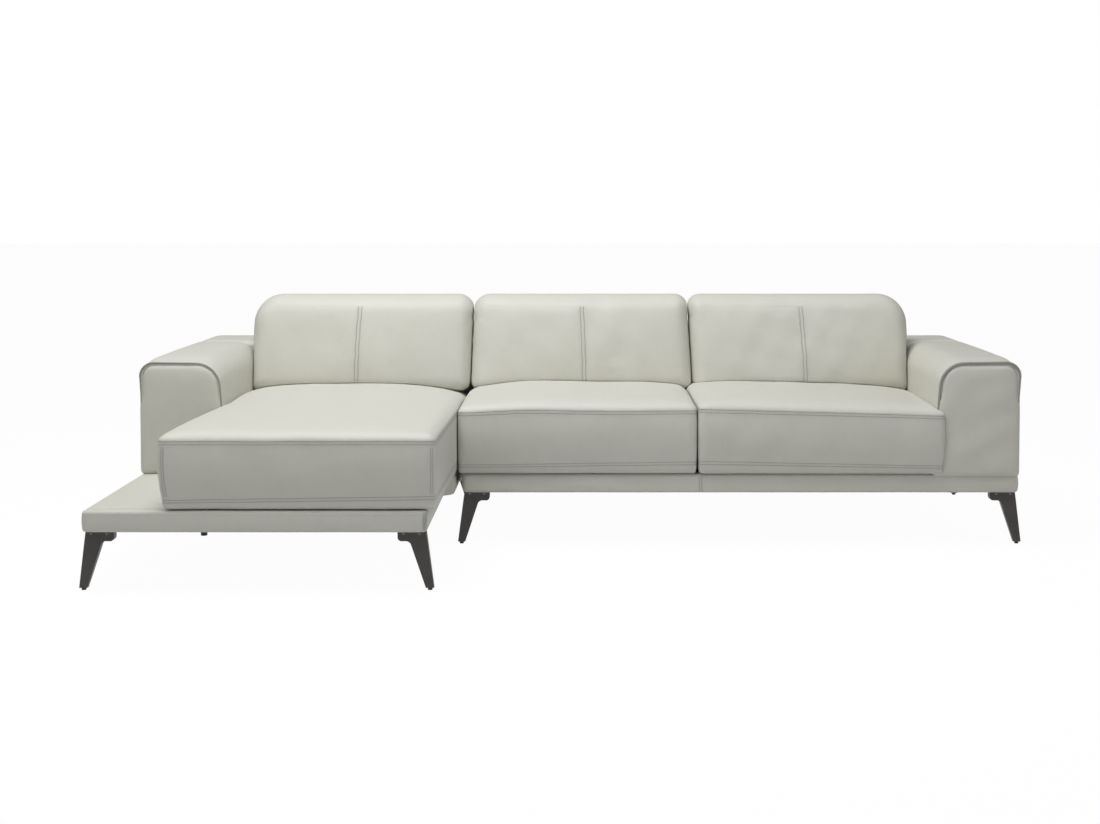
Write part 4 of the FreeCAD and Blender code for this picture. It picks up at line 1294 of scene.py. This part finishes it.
@dataclass
class Arm:
    """A padded block arm: wrapped leather, a stuffed front panel and a welt between them."""

    side: Side
    module: Module
    panel_low: float
    top_out: float = 0.045
    top_in: float = 0.079
    foot: float = 0.010
    wrap_half: float = 0.128
    panel_half: float = 0.1365
    step: float = 0.012
    wrap_rows: int = 26
    wrap_crown: float = 0.0035
    wrap_rumple: float = 0.0012
    panel_step: float = 0.010
    panel_soft: float = 0.016
    panel_tuck: float = 0.0085
    panel_puff: float = 0.010
    panel_rumple: float = 0.0010
    proud: float = 0.008
    droop: float = 0.008
    welt_radius: float = 0.0027
    welt_inset: float = 0.0035
    welt_low_in: float = 0.432
    welt_low_out: float = 0.448
    welt_fade: float = 0.10
    welt_points: int = 220
    welt_sides: int = 12

    @property
    def word(self) -> str:
        """The side in the nodes' names."""
        return self.side.name.lower()

    def corners(self) -> Radii:
        """Corner radii of the arm seen from the front."""
        tops = (self.top_in, self.top_out)[::-self.side.value]
        return (self.foot, self.foot, *tops)

    def section(self, a: np.ndarray, z: np.ndarray, y: np.ndarray, half: float, out: float) -> np.ndarray:
        """X of a point of the arm's section.

        Args:
            a: place across the arm, from -half to half.
            z: height.
            y: depth.
            half: half the width that a is measured on.
            out: how far the outer side stands out here.

        Returns:
            X in the room.
        """
        sign = self.side.value
        inner, outer = PLAN.arm_inner(y, z), PLAN.half_width + out
        share = (sign * a / half + 1) / 2
        return sign * (inner + (outer - inner) * share)

    def build(self, finishes: Finishes) -> list[bpy.types.Object]:
        """Make the arm's three pieces and return them."""
        return [self.wrap(finishes), self.panel(finishes), self.welt(finishes)]

    def wrap(self, finishes: Finishes) -> bpy.types.Object:
        """The leather wrapped over the arm from front to back.

        Args:
            finishes: the sofa's finishes.

        Returns:
            The wrap, riding on its module.
        """
        half, tall = self.wrap_half, (PLAN.arm_top - PLAN.base_top) / 2
        middle = (PLAN.arm_top + PLAN.base_top) / 2
        rows = [(0.004, -(PLAN.back_front - 0.0012)), (0.0, -(PLAN.back_front - 0.006))]
        start, end = -(PLAN.back_front - 0.02), -PLAN.front - 0.006
        for k in range(self.wrap_rows + 1):
            rows.append((0.0, start + (end - start) * k / self.wrap_rows))
        lip = ((0.0005, 0.006), (0.003, 0.0115), (0.007, 0.0130), (0.011, 0.011), (0.012, 0.004))
        rows += [(inset, end + ahead) for inset, ahead in lip]
        form = BoxForm(half, tall, self.corners(), rows, self.step, high_closed=False)
        rumple = waves(31 + self.side.value, 8, 0.45, 0.11)

        def places(a: np.ndarray, b: np.ndarray, c: np.ndarray) -> Trio:
            """Put the form's points into the room.

            Args:
                a: places across the form.
                b: places along it.
                c: places over its rows.

            Returns:
                X, y and z in metres.
            """
            y, z = -c, middle + b
            run = np.clip((c - start) / (end - start), 0, 1)
            full = np.clip(np.sin(math.pi * run), 0, 1) ** 0.6
            over = smooth_step(z, PLAN.arm_top - 0.03, PLAN.arm_top)
            x = self.section(a, z, y, half, 0.0)
            lift = self.wrap_crown * full + self.wrap_rumple * rumple(x, y) * full
            lift = lift * over * np.clip(1 - (a / half) ** 2, 0, 1)
            ahead = smooth_step(-y, -PLAN.front - 0.09, -PLAN.front)
            nose = self.droop * ahead * smooth_step(z, 0.40, PLAN.arm_top)
            return x, y, np.minimum(z + lift, PLAN.arm_top + 0.004) - nose

        shell, _, _ = form.shell(places)
        shell.marks["rub"] = smooth_step(shell.points[:, 2], PLAN.arm_top - 0.06, PLAN.arm_top) * 0.7
        made = divided(shell.object(f"{self.word}_arm_wrap", finishes.leather))
        return fitted(made, self.module, f"{self.word}_arm_cover")

    def panel(self, finishes: Finishes) -> bpy.types.Object:
        """The stuffed panel on the arm's front.

        Args:
            finishes: the sofa's finishes.

        Returns:
            The panel, riding on its module.
        """
        top = PLAN.arm_top - self.droop
        half, tall = self.panel_half, (top - self.panel_low) / 2
        middle = (top + self.panel_low) / 2
        edge = -PLAN.front
        rows = [(0.002, edge - 0.004), (0.0, edge), (0.0, edge + 0.003)]
        rows += turn(self.panel_soft, edge + 0.003, self.proud - 0.001, 5, False)
        form = BoxForm(half, tall, self.corners(), rows, self.panel_step, low_closed=False)
        rumple = waves(47 + self.side.value, 8, 0.3, 0.08)

        def places(a: np.ndarray, b: np.ndarray, c: np.ndarray) -> Trio:
            """Put the form's points into the room.

            Args:
                a: places across the form.
                b: places along it.
                c: places over its rows.

            Returns:
                X, y and z in metres.
            """
            z = middle + b
            tuck = self.panel_tuck * smooth_step(z, 0.440, 0.480)
            u, v = a / half, b / tall
            y = np.full_like(a, PLAN.front)
            x = self.section(a, z, y, half, -0.001)
            centre = self.side.value * 0.5 * (PLAN.arm_inner(y, z) + PLAN.half_width)
            x = centre + (x - centre) * (1 - tuck / half)
            z = z - tuck * smooth_step(v, 0.3, 1.0)
            puff = self.panel_puff * np.clip(1 - u ** 4, 0, 1) * np.clip(1 - v ** 6, 0, 1)
            puff = puff + self.panel_rumple * rumple(x, z)
            low_inner = 0.6 * smooth_step(-self.side.value * u, 0.3, 1.0) * smooth_step(-z, -0.44, -0.38)
            puff = puff * (1 - low_inner)
            return x, -c - puff * smooth_step(c, edge + 0.004, edge + self.proud), z

        shell, _, _ = form.shell(places)
        made = divided(shell.object(f"{self.word}_arm_panel", finishes.leather))
        return fitted(made, self.module, f"{self.word}_arm_front_panel")

    def welt(self, finishes: Finishes) -> bpy.types.Object:
        """The welt round the panel, fading out down its outer side.

        Args:
            finishes: the sofa's finishes.

        Returns:
            The welt, riding on its module.
        """
        inset, low = self.welt_inset, self.welt_low_out
        top = PLAN.arm_top - self.droop
        path = []
        for z in np.linspace(self.welt_low_in, top - self.top_in, 12):
            path.append((float(PLAN.arm_inner(np.array(PLAN.front), np.array(z))) + inset, z))
        inner = (PLAN.arm_high + self.top_in, top - self.top_in, self.top_in - inset)
        outer = (PLAN.half_width - self.top_out, top - self.top_out, self.top_out - inset * 0.5)
        for x, z, reach, angles in ((*inner, np.linspace(math.pi, QUARTER, 16)[1:]),
                                    (*outer, np.linspace(QUARTER, 0.0, 14))):
            path += [(x + reach * math.cos(angle), z + reach * math.sin(angle)) for angle in angles]
        for z in np.linspace(top - self.top_out, low, 12)[1:]:
            path.append((PLAN.half_width - inset * 0.5 - 0.004 * (1 - (z - low) / 0.1), z))
        front = PLAN.front - self.proud + 0.0015
        curve = np.array([(self.side.value * x, front, z) for x, z in path])
        gone = np.concatenate([[0.0], np.cumsum(np.linalg.norm(np.diff(curve, axis=0), axis=1))])
        fine = np.linspace(0, gone[-1], self.welt_points)
        curve = np.stack([np.interp(fine, gone, curve[:, k]) for k in range(3)], axis=1)
        fade = np.minimum(1.0, (gone[-1] - fine) / self.welt_fade) ** 0.5
        return fitted(self.tube(curve, fade, finishes), self.module, f"{self.word}_arm_piping")

    def tube(self, curve: np.ndarray, fade: np.ndarray, finishes: Finishes) -> bpy.types.Object:
        """A slightly flat round tube along a line.

        Args:
            curve: the points of the line, in an upright plane.
            fade: the radius at each point, as a share.
            finishes: the sofa's finishes.

        Returns:
            The tube.
        """
        ahead = np.gradient(curve, axis=0)
        ahead /= np.linalg.norm(ahead, axis=1)[:, None]
        outward = np.stack([ahead[:, 2], np.zeros(len(curve)), -ahead[:, 0]], axis=1)
        sides = self.welt_sides
        points = []
        for k in range(sides):
            angle = TURN * k / sides
            ring = outward * math.cos(angle) + np.array([0.0, 1.0, 0.0]) * math.sin(angle) * 1.05
            points.append(curve + ring * self.welt_radius * np.maximum(fade, 0.12)[:, None])
        stacked = np.stack(points, axis=1).reshape(-1, 3)
        last = (len(curve) - 1) * sides
        faces = []
        for low in range(0, last, sides):
            for k in range(sides):
                after = (k + 1) % sides
                faces.append((low + k, low + after, low + sides + after, low + sides + k))
        faces += [tuple(range(sides)), tuple(range(last, last + sides))]
        shell = Shell(stacked, faces, unmarked(len(stacked)))
        # the welt wears the leather darkened to half, painted shade
        return shell.object(f"{self.word}_arm_welt", finishes.welt)


@dataclass
class BackUnit:
    """The low padded back behind the cushions of one module."""

    word: str
    module: Module
    left: float
    right: float
    outer: Side
    seams: Sequence[float]
    step: float = 0.020
    top: float = 0.592
    soft: float = 0.030
    soft_front: float = 0.024
    foot: float = 0.010
    rear_dip: float = 0.006
    rumple: float = 0.0012
    end_corner: float = 0.048
    inner_corner: float = 0.010

    def build(self, finishes: Finishes) -> bpy.types.Object:
        """Make the back unit.

        Args:
            finishes: the sofa's finishes.

        Returns:
            The leather, riding on its module.
        """
        wide = (self.right - self.left) / 2
        centre = (self.right + self.left) / 2
        tall, middle = (self.top - PLAN.base_top) / 2, (self.top + PLAN.base_top) / 2
        rows = turn(self.soft, -PLAN.rear, self.soft, 6, True)
        rows += [(0.0, -depth) for depth in (0.76, 0.70, 0.64, 0.59)]
        rows += turn(self.soft_front, -(PLAN.back_front + 0.025), self.soft_front, 5, False)
        heads = (self.inner_corner, self.end_corner)[::-self.outer.value]
        form = BoxForm(wide, tall, (self.foot, self.foot, *heads), rows, self.step)
        rumple = waves(61 + self.outer.value, 8, 0.6, 0.15)

        def places(a: np.ndarray, b: np.ndarray, c: np.ndarray) -> Trio:
            """Put the form's points into the room.

            Args:
                a: places across the form.
                b: places along it.
                c: places over its rows.

            Returns:
                X, y and z in metres.
            """
            x, z = centre + a, middle + b
            u, v = a / wide, b / tall
            full = np.clip(1 - u ** 8, 0, 1) * np.clip(1 - v ** 4, 0, 1)
            behind = smooth_step(-c, PLAN.rear - 0.02, PLAN.rear)
            dip = self.rear_dip * (1 - full) + self.rumple * rumple(x, z)
            return x, -c - dip * behind, z

        shell, flat, travel = form.shell(places)
        points = shell.points
        behind = flat[:, 2] < -PLAN.rear + 0.004
        near = seam_distance(points[:, 0], self.seams)
        shell.marks["line_b"] = np.where(behind, near, FAR)
        shell.marks["line_a"] = travel - self.soft
        made = divided(shell.object(f"{self.word}_back_wrap", finishes.leather))
        return fitted(made, self.module, f"{self.word}_back_cover")


@dataclass
class Base:
    """The upholstered base of one module, folded over its frame above and below."""

    word: str
    module: Module
    left: Line
    right: Line
    start: float
    seams: Sequence[float]
    lap: float = 0.058
    flat: float = 0.035
    soft: float = 0.009
    corner: float = 0.014
    top_seam: float = 0.0035
    rumple: float = 0.0008
    step: float = 0.0125

    def build(self, finishes: Finishes) -> bpy.types.Object:
        """Make the base's leather.

        Args:
            finishes: the sofa's finishes.

        Returns:
            The leather, riding on its module.
        """
        length = PLAN.rear - self.start
        centre = (PLAN.rear + self.start) / 2
        wide = float(self.right(np.array(0.3)) - self.left(np.array(0.3))) / 2
        low, high = PLAN.base_low, PLAN.base_top
        rows = [(self.lap, low + 0.004), (self.lap, low + 0.0003), (self.flat, low)]
        rows += turn(self.soft, low, self.soft, 4, True)
        rows += [(-0.0012, low + 0.020), (-0.0018, low + 0.030), (-0.0012, low + 0.040)]
        rows += turn(self.soft, high - self.soft, self.soft, 4, False)
        rows += [(self.flat, high), (self.lap, high - 0.0003), (self.lap, high - 0.004)]
        form = BoxForm(wide, length / 2, (self.corner,) * 4, rows, self.step, False, False)
        rumple = waves(len(self.word), 8, 0.5, 0.12)

        def places(a: np.ndarray, b: np.ndarray, c: np.ndarray) -> Trio:
            """Put the form's points into the room.

            Args:
                a: places across the form.
                b: places along it.
                c: places over its rows.

            Returns:
                X, y and z in metres.
            """
            y = centre + b
            left, right = self.left(y), self.right(y)
            x = spread(a, wide, left, right)
            return x, y + self.rumple * rumple(x, c * 3), c

        shell, flat, _ = form.shell(places)
        points = shell.points
        upright = (flat[:, 2] > low + 0.003) & (flat[:, 2] < high - 0.003)
        near = seam_distance(points[:, 0], self.seams)
        shell.marks["line_b"] = np.where(upright, near, FAR)
        shell.marks["line_a"] = np.abs(points[:, 2] - (high - self.top_seam)) + Leather.seam_half
        made = divided(shell.object(f"{self.word}_base_leather", finishes.leather))
        nodes = [f"{self.word}_base_{side}_cover" for side in ("front", "left", "right", "rear")]
        return fitted(made, self.module, *nodes)


@dataclass
class Ledge:
    """The flat padded ledge beside the chaise cushion, running on under the arm and the cushion's edge."""

    left: float = -1.3790
    right: float = -1.0850
    cushion_edge: float = -1.1560
    dip: float = 0.0026
    start: float = -0.7440
    end: float = 0.7480
    corner: float = 0.006
    crown: float = 0.0012
    step: float = 0.0125

    def build(self, finishes: Finishes) -> bpy.types.Object:
        """Make the ledge.

        Args:
            finishes: the sofa's finishes.

        Returns:
            The pad, riding on the chaise module.
        """
        wide, length = (self.right - self.left) / 2, (self.end - self.start) / 2
        middle_x, middle_y = (self.right + self.left) / 2, (self.end + self.start) / 2
        top = PLAN.base_top
        rows = [(0.0, top - 0.006), (0.0, top - 0.0015), (0.0015, top + 0.0002), (0.006, top + 0.0008)]
        form = BoxForm(wide, length, (self.corner,) * 4, rows, self.step, low_closed=False)

        def places(a: np.ndarray, b: np.ndarray, c: np.ndarray) -> Trio:
            """Put the form's points into the room.

            Args:
                a: places across the form.
                b: places along it.
                c: places over its rows.

            Returns:
                X, y and z in metres.
            """
            x = middle_x + a
            full = np.clip(1 - (a / wide) ** 4, 0, 1) * np.clip(1 - (b / length) ** 12, 0, 1)
            under = smooth_step(x, self.cushion_edge - 0.012, self.cushion_edge + 0.008)
            return x, middle_y + b, c + self.crown * full * (c > top) - self.dip * under

        shell, _, _ = form.shell(places)
        made = divided(shell.object("chaise_ledge_pad", finishes.leather))
        return fitted(made, Module.CHAISE, "chaise_ledge_panel")


@dataclass
class Sofa:
    """The whole sofa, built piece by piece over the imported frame."""

    frame: dict
    finishes: Finishes

    LEG_EDGES: ClassVar[dict[str, Union[Number, str, bool]]] = {
        "width": 0.0016,
        "segments": 3,
        "limit_method": "ANGLE",
        "angle_limit": math.radians(35),
        "harden_normals": True,
    }

    def dress_nodes(self) -> None:
        """Give every carried-over node the finish of its slot, and soften the metal's edges."""
        slots = {row["node"]: row["material_slot"] for row in self.frame["record"]["subparts"]}
        for name, made in self.frame["nodes"].items():
            material = self.finishes.by_slot[slots[name]]
            made.data.materials.clear()
            made.data.materials.append(material)
            if name.endswith(("_leg", "_legs")):
                bevel = made.modifiers.new("soft_edges", "BEVEL")
                for setting, value in self.LEG_EDGES.items():
                    setattr(bevel, setting, value)

    def seats(self) -> list[SeatCushion]:
        """The three seat cushions.

        Returns:
            The chaise cushion, the middle one and the right one.
        """
        reach = 0.638

        def chaise_left(y: np.ndarray) -> np.ndarray:
            """The chaise cushion's left side, squeezed in where the arm starts."""
            out, back = np.clip((PLAN.front - y) / reach, 0, 1), np.clip((y - PLAN.front) / 0.702, 0, 1)
            return -(1.124 + 0.047 * out + 0.024 * back)

        def chaise_right(y: np.ndarray) -> np.ndarray:
            """The chaise cushion's right side, a little further in at the front."""
            return PLAN.chaise_edge - 0.012 * np.clip((PLAN.front - y) / reach, 0, 1)

        parting, gap = 0.3685, 0.002
        beyond = parting + gap
        return [
            SeatCushion(
                "chaise", Module.CHAISE, chaise_left, chaise_right, start=-0.8105, seed=3,
                low_x=-1.2, high_x=PLAN.chaise_edge, seam_sag=lambda u: 0.0 * u,
                dome=(8.0, 3.5, 5.0, 2.2), rear_fall=(0.018, 0.040), touching=(False, True),
                foot_tilt=0.006, crown=0.024),
            SeatCushion(
                "middle", Module.TWO_SEAT, level(PLAN.two_seat_edge), level(parting), start=-0.1910, seed=5,
                low_x=PLAN.two_seat_edge, high_x=parting,
                seam_sag=eased((-1.0, -0.4, 0.3, 1.0), (0.001, 0.0100, 0.0062, 0.0085)),
                dome=(3.6, 4.5, 5.0, 3.0), rear_fall=(0.014, 0.012), touching=(True, True),
                foot_tilt=0.0055, crown=0.014, corner_seams=(0.30, 0.30)),
            SeatCushion(
                "right", Module.TWO_SEAT, level(beyond), level(1.149), start=-0.1955, seed=8,
                low_x=beyond, high_x=1.2, seam_sag=lambda u: 0.0035 - 0.0115 * u - 0.0015 * u * u,
                dome=(4.5, 5.0, 5.0, 3.0), rear_fall=(0.012, 0.014), touching=(True, True),
                foot_tilt=-0.008, crown=0.014, corner_seams=(0.30, 0.30)),
        ]

    def backs(self, seats: Sequence[SeatCushion]) -> list[BackCushion]:
        """The three back cushions.

        Args:
            seats: the seat cushions that they rest on.

        Returns:
            The left cushion, the middle one and the right one.
        """
        beside_arm, foot, small, tight, big = 0.026, 0.036, 0.056, 0.044, 0.098
        return [
            BackCushion(
                "left", Module.CHAISE, low_left=-1.1560, top_left=-1.1500, low_right=-0.3860, top_right=-0.3762,
                corners=(beside_arm, foot, small, big), seam_low=-0.781, seam_top=-0.770, seed=11,
                seats=seats[:1]),
            BackCushion(
                "middle", Module.TWO_SEAT, low_left=-0.3838, top_left=-0.3740, low_right=0.3932, top_right=0.3778,
                corners=(foot, foot, tight, small), seam_low=0.0153, seam_top=0.004, seed=13,
                seats=seats[1:]),
            BackCushion(
                "right", Module.TWO_SEAT, low_left=0.3955, top_left=0.3800, low_right=1.1560, top_right=1.1530,
                corners=(foot, beside_arm, big, tight), seam_low=0.786, seam_top=0.772, seed=17,
                seats=seats[2:]),
        ]

    def build(self) -> None:
        """Build every piece in order."""
        self.dress_nodes()

        def nose(y: np.ndarray) -> np.ndarray:
            """The chaise base's right side, stepping in where it stands in front."""
            return -0.424 + 0.031 * smooth_step(np.asarray(y, float), -0.222, -0.196)

        left, right = -PLAN.half_width, PLAN.half_width
        chaise, two_seat = Module.CHAISE, Module.TWO_SEAT
        shaped = (
            Base("chaise", chaise, level(left), nose, start=-0.8025, seams=(-0.4305,)),
            Base("two_seat", two_seat, level(-0.372), level(right), start=PLAN.front, seams=(0.380,)),
            Ledge(),
            BackUnit("chaise", chaise, left, PLAN.chaise_edge, Side.LEFT, seams=(-0.88,)),
            BackUnit("two_seat", two_seat, PLAN.two_seat_edge, right, Side.RIGHT, seams=(0.38,)),
            Arm(Side.LEFT, chaise, panel_low=0.2295),
            Arm(Side.RIGHT, two_seat, panel_low=0.2210, welt_radius=0.0042),
        )
        for item in shaped:
            item.build(self.finishes)
        stuffing = Stuffing()
        seats = self.seats()
        for seat in seats:
            seat.build(self.finishes, stuffing)
        for back in self.backs(seats):
            back.build(self.finishes, stuffing)


@dataclass
class Studio:
    """White floor, soft lights and the camera."""

    focal: float = 54.363
    pitch: float = 2.5
    camera_y: float = -5.3679
    camera_z: float = 1.0787
    shift_x: float = -0.02735
    shift_y: float = -0.12327
    floor_half: float = 40.0
    floor_glow: float = 0.97
    surroundings: float = 0.245
    white: Colour = (1.0, 1.0, 1.0, 1.0)
    cool_white: Colour = (0.97, 0.99, 1.0, 1.0)
    floor_grey: Colour = (0.6, 0.6, 0.6, 1.0)

    LAMPS: ClassVar[tuple[tuple[str, Spot, Spot, float, float], ...]] = (
        ("top", (-0.9, -0.9, 4.2), (0.0, 0.1, 0.4), 3.0, 150.0),
        ("left_front", (-4.5, -3.0, 3.2), (0.0, 0.0, 0.4), 2.6, 12.0),
        ("right_front", (4.4, -3.2, 2.4), (0.3, 0.0, 0.4), 2.6, 26.0),
    )

    def camera(self) -> None:
        """The camera where the photograph was taken from."""
        data = bpy.data.cameras.new("camera")
        data.lens = self.focal
        data.sensor_width = 36.0
        data.shift_x = self.shift_x
        data.shift_y = self.shift_y
        made = placed("camera", data)
        made.location = (0.0, self.camera_y, self.camera_z)
        made.rotation_euler = (math.radians(90 - self.pitch), 0.0, 0.0)
        bpy.context.scene.camera = made

    def floor(self) -> None:
        """A white floor that keeps a soft shadow."""
        half = self.floor_half
        mesh = bpy.data.meshes.new("floor")
        corners = [(-half, -half, 0.0), (half, -half, 0.0), (half, half, 0.0), (-half, half, 0.0)]
        mesh.from_pydata(corners, [], [(0, 1, 2, 3)])
        graph = Surface("white_floor")
        path = graph.node("ShaderNodeLightPath", {}, {})
        seen = Wire(graph, path.outputs["Is Camera Ray"]).raised(Wire(graph, path.outputs["Is Glossy Ray"]))
        paint = graph.mixed(seen, self.floor_grey, self.white)
        graph.finish({"Base Color": paint}, {"Roughness": 0.9, "Specular IOR Level": 0.0})
        glow = graph.node("ShaderNodeEmission", {}, {"Color": self.white, "Strength": 1.0})
        sockets = {0: seen * self.floor_glow, 1: graph.shader.outputs[0], 2: glow.outputs[0]}
        mix = graph.wire("ShaderNodeMixShader", {}, sockets)
        graph.tree.links.new(mix.socket, graph.output.inputs["Surface"])
        mesh.materials.append(graph.material)
        placed("floor", mesh)

    def world(self) -> None:
        """Even light from all round, white to the camera."""
        world = bpy.data.worlds.new("studio")
        world.use_nodes = True
        bpy.context.scene.world = world
        graph = Graph(world.node_tree)
        soft = graph.wire("ShaderNodeBackground", {}, {"Color": self.cool_white, "Strength": self.surroundings})
        plain = graph.wire("ShaderNodeBackground", {}, {"Color": self.white, "Strength": 1.0})
        seen = graph.wire("ShaderNodeLightPath", {}, {}, "Is Camera Ray")
        mix = graph.wire("ShaderNodeMixShader", {}, {0: seen, 1: soft, 2: plain})
        graph.node("ShaderNodeOutputWorld", {}, {"Surface": mix})

    def lamp(self, name: str, place: Spot, aim: Spot, size: float, power: float) -> None:
        """A soft square lamp of white light.

        Args:
            name: its name.
            place: where it hangs.
            aim: the point it faces.
            size: its side.
            power: its power in watts.
        """
        data = bpy.data.lights.new(name, "AREA")
        data.shape = "SQUARE"
        data.size = size
        data.energy = power
        made = placed(name, data)
        made.location = place
        made.rotation_mode = "QUATERNION"
        made.rotation_quaternion = (Vector(place) - Vector(aim)).to_track_quat("Z", "Y")

    def build(self) -> None:
        """Set the whole studio up."""
        bpy.context.scene.view_settings.view_transform = "Standard"
        self.camera()
        self.floor()
        self.world()
        for lamp in self.LAMPS:
            self.lamp(*lamp)


def main() -> None:
    """Build the sofa in its studio."""
    logging.basicConfig(level=logging.INFO, format="%(name)s %(message)s")
    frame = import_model()
    Sofa(frame, Finishes()).build()
    Studio().build()


if __name__ == "__main__":
    main()
